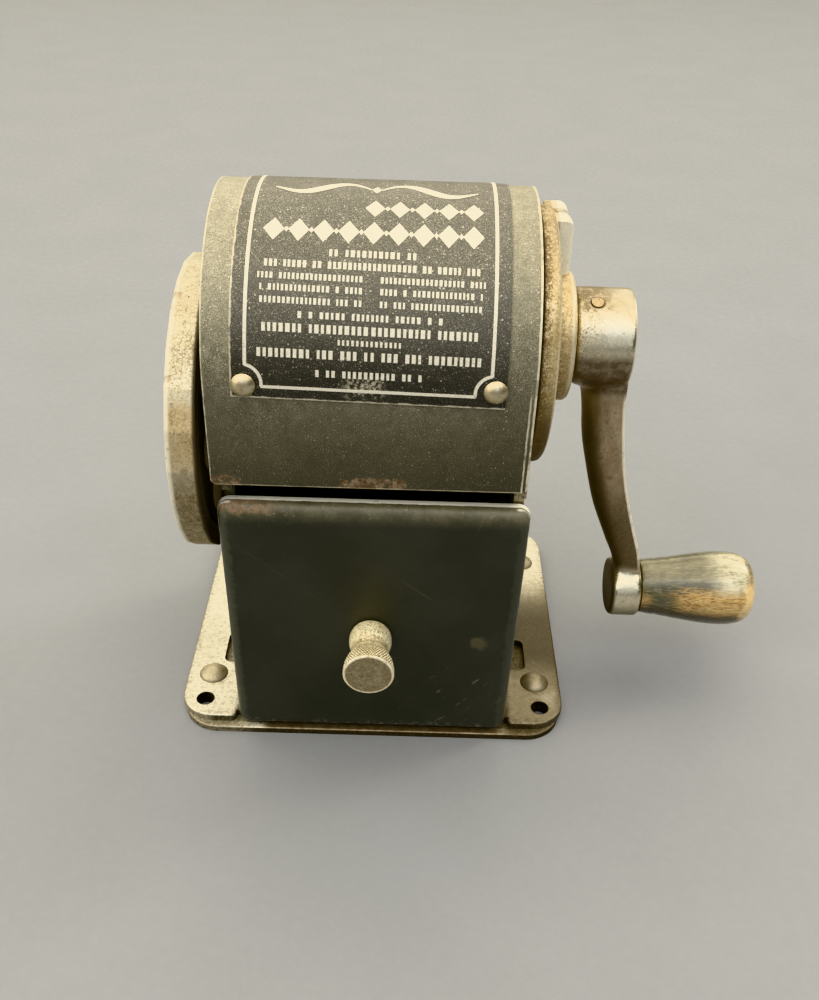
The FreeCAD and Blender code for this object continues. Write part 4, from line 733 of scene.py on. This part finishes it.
def knob_extra(s):
    g = s["g"]
    a = g.sub(-37.95, g.y)
    kx, kz = g.add(g.x, 0.3), g.sub(g.z, 30.7)
    rd = g.m_("SQRT", g.add(g.m_("POWER", kx, 2.0), g.m_("POWER", kz, 2.0)))
    face = g.mul(g.rng(a, 12.15, 12.25), g.rng(rd, 4.80, 4.5))
    over(s, g.mul(face, g.rng(s["n2"], 0.3, 0.62, 0.75, 1.0)), (0.305, 0.250, 0.166), 0.55, 0.75)
    spots = g.mul(face, g.rng(g.noise(0.85, 4, 0.7, w=12), 0.58, 0.66))
    over(s, g.mul(spots, 0.75), (0.085, 0.062, 0.034), 0.8, 0.2)
    granular(s, g.mul(face, 0.6), 3.0, 0.55, 0.65, (0.55, 0.49, 0.36), 0.5, 0.7, 7.0)
    s["h"] = g.add(s["h"], g.mul(g.mul(g.m_("SINE", g.mul(rd, 15.0)), 0.18), face))
    body = g.sub(1.0, face)
    over(s, g.mul(body, 0.9), met=0.20)
    granular(s, g.mul(body, 0.85), 2.2, 0.52, 0.60, (0.58, 0.41, 0.18), 0.45, 0.6, 2.0)
    granular(s, g.mul(body, 0.85), 1.4, 0.56, 0.62, (0.32, 0.21, 0.085), 0.6, 0.5, 4.0)
    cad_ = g.noise(2.8, 3, 0.75, w=19)
    over(s, g.mul(g.mul(body, g.rng(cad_, 0.46, 0.39)), 0.95), (1.0, 0.97, 0.80), 0.22, 0.35)
    over(s, g.mul(g.mul(body, g.rng(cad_, 0.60, 0.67)), 0.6), (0.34, 0.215, 0.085), 0.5, 0.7)
    s["h"] = g.add(s["h"], g.mul(g.mul(body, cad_), 1.6))
    # dirt and painted shade in the cuts of the knurl
    fr = g.mul(g.m_("ARCTAN2", kz, kx), 1.0 / (2.0 * math.pi))
    ta = g.m_("PINGPONG", g.add(g.mul(fr, KNURL * 2.0), g.mul(a, 2.30)), 1.0)
    tb = g.m_("PINGPONG", g.add(g.mul(fr, KNURL * 2.0), g.mul(a, -2.30)), 1.0)
    cut = g.mx(g.sub(1.0, ta), g.sub(1.0, tb))
    kn = g.mul(g.rng(a, 6.5, 7.3), g.rng(a, 12.1, 11.9))
    over(s, g.mul(kn, g.rng(cut, 0.62, 0.92, 0.0, 0.85)), (0.16, 0.102, 0.042), 0.65, 0.4)
    tip = g.mul(g.mul(kn, g.rng(cut, 0.62, 0.50)), 0.5)
    over(s, tip, (0.98, 0.91, 0.69), 0.34, 0.5)
    neck = g.rng(g.ab(g.sub(a, 5.7)), 1.1, 0.2)
    over(s, g.mul(neck, g.rng(s["n2"], 0.34, 0.62, 0.1, 0.7)), (0.40, 0.29, 0.14), 0.55, 0.8)
    # pale rim round the face, stronger toward the top: worn metal and painted highlight
    lip = g.mul(g.mul(g.rng(rd, 4.62, 4.90), g.rng(a, 11.95, 12.1)), g.rng(kz, -2.8, 2.2, 0.15, 1.0))
    over(s, g.mul(lip, g.rng(g.noise(1.4, 5, 0.7, w=9), 0.40, 0.56, 0.05, 0.85)), (0.99, 0.94, 0.76), 0.34, 0.4)
    root = g.rng(a, 0.7, 0.1)
    over(s, g.mul(root, 0.85), srgb(44, 36, 24), 0.85, 0.1)


KNURL = 52
MATS["knob_brass"] = plated("knob_brass", (1.0, 0.945, 0.68), (0.97, 0.885, 0.59), (0.80, 0.67, 0.385), (0.38, 0.50), 0.22, None, 15.0, 0.5, 0.06, knob_extra, 0.36, 0.58)

# ---- grip: turned wood, grey-green paint worn through along the grain ------------------------------
g = Graph("grip_wood")
dy, dz = g.sub(g.y, YA), g.sub(g.z, ZK)
grain_v = g.vmul(g.P, (0.07, 1.0, 1.0))
gr1 = g.noise(1.6, 6, 0.7, 0.8, vec=grain_v)
gr2 = g.noise(5.5, 3, 0.6, 0.3, vec=grain_v, w=2)
wood = g.mix(g.rng(gr1, 0.34, 0.62), (0.98, 0.71, 0.34), (0.44, 0.285, 0.120))
wood = g.mix(g.mul(g.rng(gr2, 0.50, 0.62), 0.80), wood, (0.15, 0.085, 0.036))
pn = g.noise(0.35, 6, 0.66, 0.4, w=4)
paint = g.mix(g.rng(pn, 0.34, 0.66), (0.140, 0.136, 0.086), (0.080, 0.079, 0.052))
fine = g.noise(2.2, 5, 0.72, 0.3, vec=g.vmul(g.P, (0.16, 1.0, 1.0)), w=6)
thin = g.rng(g.add(g.mul(gr1, 0.45), g.mul(fine, 0.55)), 0.48, 0.64)
paint = g.mix(g.mul(thin, 0.55), paint, (0.37, 0.335, 0.205))
ang = g.m_("ARCTAN2", dz, g.mul(dy, -1.0))
side = g.rng(g.ab(g.sub(ang, 0.15)), 0.75, 0.22)
belly = g.mul(g.rng(g.add(g.x, g.rng(gr1, 0.3, 0.7, -1.6, 1.6)), 65.0, 71.0), g.rng(g.x, 87.0, 82.5))
wearf = g.mul(g.mul(side, belly), 0.27)
wearf = g.add(wearf, g.mul(g.mul(g.rng(g.x, 65.0, 61.8), g.rng(dz, 6.0, 1.0)), 0.20))
rim_n = g.add(g.x, g.rng(pn, 0.3, 0.7, -0.8, 0.8))
wearf = g.add(wearf, g.mul(g.mul(g.rng(rim_n, 82.6, 85.0), g.rng(dz, 6.0, 0.0, 0.40, 1.0)), 0.40))
streak = g.add(g.mul(gr1, 0.45), g.add(g.mul(fine, 0.25), g.mul(g.noise(0.55, 6, 0.7, vec=g.vmul(g.P, (0.25, 1.0, 1.0)), w=7), 0.30)))
bare = g.rng(g.add(streak, wearf), 0.58, 0.78)
col = g.mix(bare, paint, wood)
grime = g.mul(g.rng(g.noise(0.8, 6, 0.7, w=8), 0.54, 0.70), 0.5)
col = g.mix(grime, col, (0.070, 0.056, 0.032))
# a painted highlight on the upper shoulder, pale cream
shoulder_highlight = g.mul(g.mul(g.rng(g.x, 74.0, 81.6), g.rng(g.x, 85.8, 83.8)), g.mul(g.rng(dz, 2.6, 5.2), g.rng(dy, 4.0, 1.0)))
shoulder_highlight = g.mul(shoulder_highlight, g.rng(g.add(g.mul(fine, 0.5), g.mul(pn, 0.5)), 0.36, 0.56))
col = g.mix(g.mul(shoulder_highlight, 0.72), col, (0.92, 0.875, 0.70))
# painted shade on the underside
underside_shade = g.mul(g.rng(g.add(dz, g.rng(gr1, 0.3, 0.7, -0.8, 0.8)), 0.2, -2.8), 0.92)
col = g.mix(underside_shade, col, (0.062, 0.046, 0.026))
rimw = g.mul(g.mul(g.rng(rim_n, 82.8, 84.6), g.rng(dz, -5.6, -2.6)), g.rng(dz, 7.0, 3.0))
col = g.mix(g.mul(rimw, g.rng(fine, 0.36, 0.60, 0.55, 0.95)), col, (0.97, 0.72, 0.38))
endf = g.rng(g.x, 86.2, 86.8)
col = g.mix(g.mul(endf, 0.6), col, (0.70, 0.50, 0.25))
ro = g.mixf(bare, g.rng(pn, 0.3, 0.7, 0.22, 0.34), g.rng(gr1, 0.3, 0.7, 0.34, 0.50))
h = g.add(g.mul(gr1, 0.5), g.add(g.mul(gr2, 0.4), g.mul(bare, -0.8)))
MATS["grip_wood"] = g.done(col, 0.0, ro, g.bump(h, 0.06), Specular_IOR_Level=0.5, Coat_Weight=0.6, Coat_IOR=1.7, Coat_Roughness=0.16, Coat_Tint=(1.0, 0.97, 0.84, 1.0))

SLOT_OF = {s["node"]: s["material_slot"] for s in frame["record"]["subparts"]}
for name, obj in NODE.items():
    obj.data.materials.clear()
    obj.data.materials.append(PIN_STEEL if name == "crank_pin" else MATS[SLOT_OF[name]])


# ------------------------------------------------------------------------------------------
# pieces made here
# ------------------------------------------------------------------------------------------
def make(name, verts, faces, mat, body, node=None, angle=38.0):
    """Closed mesh from millimetre points, smooth inside the given corner angle, riding a body."""
    me = bpy.data.meshes.new(name)
    me.from_pydata([(x * MM, y * MM, z * MM) for x, y, z in verts], [], faces)
    bm = bmesh.new()
    bm.from_mesh(me)
    bmesh.ops.remove_doubles(bm, verts=bm.verts[:], dist=4e-7)
    bmesh.ops.dissolve_degenerate(bm, edges=bm.edges[:], dist=1e-8)
    bmesh.ops.recalc_face_normals(bm, faces=bm.faces[:])
    bm.to_mesh(me)
    bm.free()
    return dress(name, me, mat, body, node, angle)


def dress(name, me, mat, body, node=None, angle=38.0):
    me.polygons.foreach_set("use_smooth", [True] * len(me.polygons))
    me.set_sharp_from_angle(angle=math.radians(angle))
    ob = bpy.data.objects.new(name, me)
    bpy.context.scene.collection.objects.link(ob)
    me.materials.clear()
    me.materials.append(mat)
    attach(ob, body)
    if node:
        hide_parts(node)
    return ob


def curve_points(pts, n):
    """Catmull-Rom points through a list of (a, r), n to each span."""
    p = [np.array(q, float) for q in pts]
    p = [2 * p[0] - p[1]] + p + [2 * p[-1] - p[-2]]
    out = []
    for i in range(1, len(p) - 2):
        for k in range(n):
            t = k / n
            a, b, c, d = p[i - 1], p[i], p[i + 1], p[i + 2]
            out.append(0.5 * (2 * b + (c - a) * t + (2 * a - 5 * b + 4 * c - d) * t * t + (3 * b - a - 3 * c + d) * t ** 3))
    out.append(p[-2])
    return [(float(q[0]), float(q[1])) for q in out]


def rings_to_mesh(rings, closed):
    """Faces between equal rings of points; closed joins the last ring to the first."""
    n = len(rings[0])
    verts = [q for r in rings for q in r]
    faces = []
    m = len(rings)
    for i in range(m if closed else m - 1):
        j = (i + 1) % m
        for k in range(n):
            l = (k + 1) % n
            faces.append((i * n + k, i * n + l, j * n + l, j * n + k))
    return verts, faces


# ---- drawer knob: ball collar, waist, flared head with a cut diamond knurl -------------------------
KX, KY, KZ = -0.3, YA - 28.4, 30.7
kp = [(0.0, 3.3), (0.5, 3.95), (1.4, 4.32), (2.6, 4.42), (3.9, 4.25), (5.0, 3.80), (5.9, 3.50), (6.8, 3.80), (8.2, 4.5), (9.6, 5.0), (10.9, 5.2)]
prof = curve_points(kp, 9) + [(11.1, 5.2), (11.3, 5.2), (11.5, 5.2), (11.7, 5.2), (11.9, 5.2), (12.05, 5.19), (12.2, 5.1), (12.3, 5.0), (12.37, 4.9), (12.4, 4.8), (12.38, 4.5), (12.34, 4.0), (12.3, 3.0), (12.28, 1.6), (12.28, 0.0)]
prof = [(-0.02, 0.0)] + prof
NT, NS = KNURL, 624


def tri(v):
    v = v - math.floor(v)
    return abs(2.0 * v - 1.0)


rings = []
for a, r in prof:
    ring = []
    lo_k = min(1.0, max(0.0, (a - 6.6) / 0.9)) * min(1.0, max(0.0, (12.12 - a) / 0.25))
    for k in range(NS):
        f = k / NS
        cut = max(tri(f * NT + a * 1.15), tri(f * NT - a * 1.15))
        ph = 2 * math.pi * f
        rr = r - (0.40 * lo_k + 0.06 * (1.0 if 0.9 < a < 5.0 else 0.0)) * cut if r > 3 else r
        # dents from years of use
        rr -= 0.07 * max(0.0, math.sin(3 * ph + 0.8 * a + 0.4)) ** 6 * (1.0 if 1.0 < a < 5.2 else 0.0)
        ring.append((KX + rr * math.cos(ph), KY - a, KZ + rr * math.sin(ph)))
    rings.append(ring)
v, f = rings_to_mesh(rings, False)
make("knob_knurled", v, f, MATS["knob_brass"], "drawer", "drawer_knob", 50.0)

# ---- grip: turned, a little out of round, a shallow sanded hollow where fingers hold it -------------
gp = [(61.0, 6.05), (61.8, 6.35), (64.0, 6.65), (67.0, 7.05), (71.0, 7.7), (75.5, 8.35), (79.5, 8.62), (82.2, 8.5), (84.4, 8.0), (85.9, 7.05), (86.7, 5.85), (87.0, 4.75)]
prof = curve_points(gp, 8) + [(86.6, 4.70), (85.8, 4.68), (84.9, 4.68), (84.9, 2.55), (61.0, 2.55)]
NS = 180
rings = []
for i, (a, r) in enumerate(prof):
    ring = []
    outer = r > 4.72
    for k in range(NS):
        ph = 2 * math.pi * k / NS
        rr = r
        if outer and 61.3 < a < 86.9:
            w1 = 0.05 * math.sin(2 * ph + 0.4 + 0.05 * a) + 0.03 * math.sin(3 * ph + 0.21 * a)
            dent = 0.10 * math.exp(-((a - 70.5) / 2.6) ** 2) * max(0.0, math.cos(ph - 1.9)) ** 2
            ridge = 0.035 * math.sin(a * 2.3 + 0.6 * math.sin(ph)) * math.exp(-((a - 66.0) / 4.0) ** 2)
            rr = r - 0.08 + w1 - dent + ridge
        ring.append((a, YA + rr * math.cos(ph), ZK + rr * math.sin(ph)))
    rings.append(ring)
v, f = rings_to_mesh(rings, True)
make("grip_turned", v, f, MATS["grip_wood"], "grip", "wood_grip", 40.0)

# ---- name plate: a thin curved sheet, set a little askew, and its raised silver rules ----------------
PX0, PX1, PA0, PA1 = -25.4, 23.5, -1.0, 132.0
R_IN, R_OUT = 28.51, 28.86
PH = math.radians(PA1 - PA0) * R_OUT
PCX, PCV, SKEW = (PX0 + PX1) / 2, PH / 2, math.radians(1.2)


def on_plate(u, v, r):
    du, dv = u - PCX, v - PCV
    uu = PCX + du * math.cos(SKEW) + dv * math.sin(SKEW) * 0.35
    vv = PCV + dv * math.cos(SKEW) - du * math.sin(SKEW)
    s = vv / R_OUT + math.radians(PA0)
    if s < 0.0:
        return (uu, YA - r, AX + R_OUT * s)
    return (uu, YA - r * math.cos(s), AX + r * math.sin(s))


def plate_outline(n_c, rad):
    """Plate outline with small corner radii, as (u, v)."""
    pts = []
    for cx, cv, a0 in ((PX1 - rad, rad, -90), (PX1 - rad, PH - rad, 0), (PX0 + rad, PH - rad, 90), (PX0 + rad, rad, 180)):
        for k in range(n_c + 1):
            t = math.radians(a0 + 90.0 * k / n_c)
            pts.append((cx + rad * math.cos(t), cv + rad * math.sin(t)))
    return pts


NU, NV = 24, 84
verts, faces, idx = [], [], {}
for side, r in ((0, R_OUT), (1, R_IN)):
    for j in range(NV + 1):
        for i in range(NU + 1):
            u = PX0 + (PX1 - PX0) * i / NU
            vv = PH * j / NV
            # outer face dips a little toward the edges, with a slight waviness
            cu = min(u - PX0, PX1 - u)
            cv = min(vv, PH - vv)
            rr = r
            if side == 0:
                edge = min(cu, cv)
                rr = r - 0.10 * math.exp(-edge / 0.5) - 0.02 * (1 + math.sin(u * 0.45 + 1.0) * math.sin(vv * 0.31))
            idx[side, i, j] = len(verts)
            verts.append(on_plate(u, vv, rr))
for j in range(NV):
    for i in range(NU):
        faces.append((idx[0, i, j], idx[0, i + 1, j], idx[0, i + 1, j + 1], idx[0, i, j + 1]))
        faces.append((idx[1, i, j], idx[1, i, j + 1], idx[1, i + 1, j + 1], idx[1, i + 1, j]))
for i in range(NU):
    for j in (0, NV):
        faces.append((idx[0, i, j], idx[0, i + 1, j], idx[1, i + 1, j], idx[1, i, j]))
for j in range(NV):
    for i in (0, NU):
        faces.append((idx[0, i, j], idx[0, i, j + 1], idx[1, i, j + 1], idx[1, i, j]))
make("plate_sheet", verts, faces, MATS["plate_black"], "frame", "name_plate", 45.0)

LV, LF = [], []
L_LO, L_HI = R_OUT - 0.09, R_OUT + 0.05


def prism(outline):
    """Raised closed shape on the plate from a convex-ish (u, v) outline, fan-filled."""
    n = len(outline)
    b = len(LV)
    cu = sum(p[0] for p in outline) / n
    cv = sum(p[1] for p in outline) / n
    for r in (L_HI, L_LO):
        for u, v in outline:
            LV.append(on_plate(u, v, r))
    LV.append(on_plate(cu, cv, L_HI))
    LV.append(on_plate(cu, cv, L_LO))
    for k in range(n):
        l = (k + 1) % n
        LF.append((b + k, b + l, b + 2 * n))
        LF.append((b + n + l, b + n + k, b + 2 * n + 1))
        LF.append((b + k, b + n + k, b + n + l, b + l))


def ribbon(path, width):
    """Raised strip along an open (u, v) path; width is a number or a list."""
    p = np.array(path, float)
    d = np.gradient(p, axis=0)
    d /= np.maximum(np.linalg.norm(d, axis=1, keepdims=True), 1e-9)
    nrm = np.stack([-d[:, 1], d[:, 0]], 1)
    w = np.full(len(p), width, float) if np.isscalar(width) else np.array(width, float)
    a, c = p + nrm * w[:, None] / 2, p - nrm * w[:, None] / 2
    b = len(LV)
    for q0, q1 in zip(a, c):
        LV.append(on_plate(q0[0], q0[1], L_HI))
        LV.append(on_plate(q1[0], q1[1], L_HI))
        LV.append(on_plate(q1[0], q1[1], L_LO))
        LV.append(on_plate(q0[0], q0[1], L_LO))
    m = len(p)
    for i in range(m - 1):
        for k in range(4):
            l = (k + 1) % 4
            LF.append((b + 4 * i + k, b + 4 * i + l, b + 4 * i + 4 + l, b + 4 * i + 4 + k))
    LF.append((b, b + 3, b + 2, b + 1))
    e = b + 4 * (m - 1)
    LF.append((e, e + 1, e + 2, e + 3))


def line(u0, v0, u1, v1, w, step=0.8):
    n = max(2, int(math.hypot(u1 - u0, v1 - v0) / step) + 1)
    ribbon([(u0 + (u1 - u0) * k / n, v0 + (v1 - v0) * k / n) for k in range(n + 1)], w)


def lozenge(u, v, wu, wv):
    prism([(u + wu / 2, v), (u, v + wv / 2), (u - wu / 2, v), (u, v - wv / 2)])


PIN_U = (PX0 + 2.1, PX1 - 2.1)
PIN_V = tuple(math.radians(a - PA0) * R_OUT for a in (4.8, 126.2))
BL, BR, AR = PX0 + 2.75, PX1 - 2.75, 3.45
for u, pu in ((BL, PIN_U[0]), (BR, PIN_U[1])):
    dv = math.sqrt(AR * AR - (u - pu) ** 2)
    line(u, PIN_V[0] + dv - 0.15, u, PIN_V[1] - dv + 0.15, 0.62)
for v_, sgn in ((2.35, 0), (PH - 2.35, 1)):
    dv = v_ - PIN_V[sgn]
    du = math.sqrt(AR * AR - dv * dv)
    line(PIN_U[0] + du - 0.1, v_, PIN_U[1] - du + 0.1, v_, 0.56)
for i in (0, 1):
    for j in (0, 1):
        su, sv = (1 if i == 0 else -1), (1 if j == 0 else -1)
        ub = (BL if i == 0 else BR) - PIN_U[i]
        vb = (2.35 if j == 0 else PH - 2.35) - PIN_V[j]
        a0 = math.atan2(sv * vb, AR)
        a1 = math.atan2(AR, su * ub)
        ribbon([(PIN_U[i] + su * AR * math.cos(a0 + (a1 - a0) * k / 14), PIN_V[j] + sv * AR * math.sin(a0 + (a1 - a0) * k / 14)) for k in range(15)], 0.58)


def both(u0, u1, v_, w):
    line(PCX + u0, v_, PCX + u1, v_, w)
    line(PCX - u1, v_, PCX - u0, v_, w)


# rules, bars and lozenges only: the printed face is left generic
def bars(u0, u1, v_, tall, wide, gap, seed):
    """A row of short upright bars between u0 and u1 from the middle, in groups, both sides alike."""
    for sgn in (1, -1):
        u, k = u0, seed
        while u < u1:
            k = (k * 73 + 19) % 101
            w = wide * (0.75 + 0.5 * k / 100.0)
            if u + w > u1:
                break
            a, b = PCX + sgn * u, PCX + sgn * (u + w)
            prism([(b, v_ - tall / 2), (b, v_ + tall / 2), (a, v_ + tall / 2), (a, v_ - tall / 2)] if sgn > 0 else [(a, v_ - tall / 2), (a, v_ + tall / 2), (b, v_ + tall / 2), (b, v_ - tall / 2)])
            u += w + (gap * 3.2 if k % 7 == 0 else gap)


bars(0.2, 10.0, 5.3, 1.25, 0.52, 0.40, 5)
bars(0.3, 20.2, 8.7, 1.55, 0.66, 0.42, 11)
bars(0.2, 5.8, 10.95, 0.95, 0.40, 0.40, 17)
bars(0.3, 20.2, 13.1, 1.5, 0.64, 0.42, 23)
bars(0.2, 13.4, 15.4, 1.15, 0.52, 0.40, 29)
for v_, sd_ in ((17.8, 31), (20.0, 37), (22.1, 41)):
    bars(1.6, 20.0, v_, 1.1, 0.42, 0.36, sd_)
bars(0.2, 20.2, 24.4, 1.3, 0.50, 0.36, 43)
bars(0.2, 8.6, 26.8, 1.3, 0.58, 0.44, 47)
for k in range(-4, 5):
    lozenge(PCX + 4.4 * k, 31.4, 3.7, 5.0)
for k in range(-4, 4):
    lozenge(PCX + 4.4 * (k + 0.5), 31.4, 0.9, 1.3)
for k in range(5):
    lozenge(PCX + 4.4 * (k + 0.5) - 2.2, 37.6, 3.5, 4.6)
for k in range(4):
    lozenge(PCX + 4.4 * (k + 0.5), 37.6, 0.9, 1.3)
for sgn in (1, -1):
    path, wid = [], []
    for k in range(61):
        t = k / 60
        path.append((PCX + sgn * (1.0 + 17.5 * t), 44.2 + 2.6 * math.sin(t * 2 * math.pi) * (1 - 0.45 * t)))
        wid.append(0.35 + 1.5 * math.sin(math.pi * t) ** 1.5)
    ribbon(path, wid)
lozenge(PCX, 44.2, 1.8, 2.8)
make("plate_rules", LV, LF, SILVER, "frame", None, 30.0)

# ---- crank: the cast arm with its hub and boss blended the way a casting is -------------------------
src = bpy.data.meshes.new("crank_copy")
bm = bmesh.new()
bm.from_mesh(NODE["crank_arm"].data)
bmesh.ops.remove_doubles(bm, verts=bm.verts[:], dist=1e-6)
bm.to_mesh(src)
bm.free()
tmp = bpy.data.objects.new("crank_tmp", src)
bpy.context.scene.collection.objects.link(tmp)
rmod = tmp.modifiers.new("voxels", "REMESH")
rmod.mode = "VOXEL"
rmod.voxel_size = 0.30 * MM
rmod.use_smooth_shade = True
bpy.context.view_layer.update()
deps = bpy.context.evaluated_depsgraph_get()
cme = bpy.data.meshes.new_from_object(tmp.evaluated_get(deps))
cme.name = "crank_cast"
bpy.data.objects.remove(tmp)
nv = len(cme.vertices)
co = np.zeros(nv * 3)
cme.vertices.foreach_get("co", co)
co = co.reshape(-1, 3) * 1000.0
ed = np.zeros(len(cme.edges) * 2, int)
cme.edges.foreach_get("vertices", ed)
ed = ed.reshape(-1, 2)
deg = np.bincount(ed.ravel(), minlength=nv).astype(float)


def ramp(v, a, b):
    t = np.clip((v - a) / (b - a), 0, 1)
    return t * t * (3 - 2 * t)


zz = co[:, 2].copy()
rh = np.hypot(co[:, 1] - YA, co[:, 2] - AX)
rb = np.hypot(co[:, 1] - YA, co[:, 2] - ZK)
blend_w = ramp(zz, AX - 2.5, AX - 7.5) * ramp(zz, AX - 21.0, AX - 15.0)
blend_w = np.maximum(blend_w, ramp(zz, ZK + 14.0, ZK + 9.5) * ramp(zz, ZK + 3.0, ZK + 6.0))
blend_w *= ramp(rh, 4.8, 6.5) * ramp(rb, 2.9, 3.6)
bore = np.minimum(ramp(rh, 4.2, 5.4), ramp(rb, 2.7, 3.4))


def relax(weight, rounds):
    global co
    for _ in range(rounds):
        acc = np.zeros_like(co)
        for c in range(3):
            acc[:, c] = np.bincount(ed[:, 0], co[ed[:, 1], c], nv) + np.bincount(ed[:, 1], co[ed[:, 0], c], nv)
        co = co + (acc / deg[:, None] - co) * (0.5 * weight)[:, None]


az = np.array([a[0] for a in ARM])
cdx = co[:, 0] - np.interp(zz, az, np.array([a[1] for a in ARM]))
cdy = np.abs(co[:, 1] - YA) - np.interp(zz, az, np.array([a[2] for a in ARM]))
blend_w *= np.maximum(ramp(np.hypot(cdx, cdy), 0.9, 2.6), 0.06)
relax(blend_w, 110)
relax(bore, 5)
cme.vertices.foreach_set("co", (co * MM).ravel())
cme.update()
dress("crank_cast", cme, MATS["crank_nickel"], "crank", "crank_arm", 60.0)

# ------------------------------------------------------------------------------------------
# stage, light, camera
# ------------------------------------------------------------------------------------------
me = bpy.data.meshes.new("floor")
bm = bmesh.new()
bmesh.ops.create_grid(bm, x_segments=2, y_segments=2, size=1.7)
bm.to_mesh(me)
bm.free()
floor = bpy.data.objects.new("floor", me)
bpy.context.scene.collection.objects.link(floor)
g = Graph("floor_paper")
fc = g.mix(g.rng(g.noise(0.03, 3, 0.5), 0.3, 0.7), (0.235, 0.250, 0.280), (0.245, 0.260, 0.292))
fc = g.mix(g.rng(g.noise(0.6, 5, 0.7, w=2), 0.4, 0.75, 0.0, 0.2), fc, (0.285, 0.300, 0.330))
me.materials.append(g.done(fc, 0.0, g.rng(g.noise(0.4, 4), 0.3, 0.7, 0.55, 0.68), g.bump(g.noise(1.5, 4), 0.02)))

world = bpy.data.worlds.new("studio")
bpy.context.scene.world = world
world.use_nodes = True
world.node_tree.nodes["Background"].inputs[0].default_value = (0.95, 0.95, 0.93, 1)
wt = world.node_tree
lp = wt.nodes.new("ShaderNodeLightPath")
wm = wt.nodes.new("ShaderNodeMath")
wm.operation = "MULTIPLY_ADD"
wt.links.new(lp.outputs["Is Camera Ray"], wm.inputs[0])
wm.inputs[1].default_value, wm.inputs[2].default_value = 0.33, 0.07
wt.links.new(wm.outputs[0], wt.nodes["Background"].inputs[1])


def area(name, loc, target, size, radiance, color=(1, 1, 1)):
    """Soft panel of the given radiance."""
    li = bpy.data.lights.new(name, "AREA")
    li.shape = "RECTANGLE"
    li.size, li.size_y = size
    li.energy = radiance * math.pi * size[0] * size[1]
    li.color = color
    o = bpy.data.objects.new(name, li)
    bpy.context.scene.collection.objects.link(o)
    o.location = loc
    d = Vector(target) - Vector(loc)
    o.rotation_mode = "QUATERNION"
    o.rotation_quaternion = d.to_track_quat("-Z", "Y")
    return o


WARM = (1.0, 0.90, 0.70)
area("ceiling", (-0.35, 0.20, 1.15), (-0.35, 0.199, 0.0), (2.8, 2.07), 2.6, WARM)
area("back_panel", (0.0, 1.9, 0.9), (0, 0, 0.08), (2.4, 0.9), 1.9, WARM)
area("front_high", (0.0, -1.3, 1.44), (0, -0.8, 0.95), (2.6, 1.15), 1.3, (0.90, 0.96, 1.06))
area("front_low", (0.25, -2.0, 0.62), (0.04, 0, 0.08), (0.9, 0.8), 0.85, (0.92, 0.96, 1.0))
area("left_panel", (-2.0, -0.5, 0.7), (0, 0, 0.08), (1.6, 0.8), 2.2, WARM)
area("left_front", (-1.135, -0.795, 0.80), (0, 0, 0.06), (0.7, 0.7), 2.6, WARM)
area("right_panel", (2.0, 0.5, 0.85), (0, 0, 0.05), (1.4, 0.7), 1.6, (1.0, 0.95, 0.82))
area("right_lamp", (1.35, 0.62, 1.05), (0.05, 0, 0.04), (0.42, 0.42), 13.0, (1.0, 0.95, 0.80))

pitch, yaw, roll = math.radians(34.78), math.radians(0.38), math.radians(-1.94)
fw = Vector((math.sin(yaw) * math.cos(pitch), math.cos(yaw) * math.cos(pitch), -math.sin(pitch)))
rt = Vector((math.cos(yaw), -math.sin(yaw), 0.0))
dn = fw.cross(rt)
r2 = rt * math.cos(roll) + dn * math.sin(roll)
d2 = -rt * math.sin(roll) + dn * math.cos(roll)
cd = bpy.data.cameras.new("camera")
cam = bpy.data.objects.new("camera", cd)
bpy.context.scene.collection.objects.link(cam)
cam.matrix_world = Matrix(((r2.x, -d2.x, -fw.x, 0.00567), (r2.y, -d2.y, -fw.y, -0.20292), (r2.z, -d2.z, -fw.z, 0.17925), (0, 0, 0, 1)))
cd.sensor_width = 36.0
cd.lens = 1059.8 * 36.0 / 1000.0
cd.clip_start, cd.clip_end = 0.005, 20.0
bpy.context.scene.camera = cam
bpy.context.scene.view_settings.view_transform = "Khronos PBR Neutral"
bpy.context.scene.view_settings.look = "None"
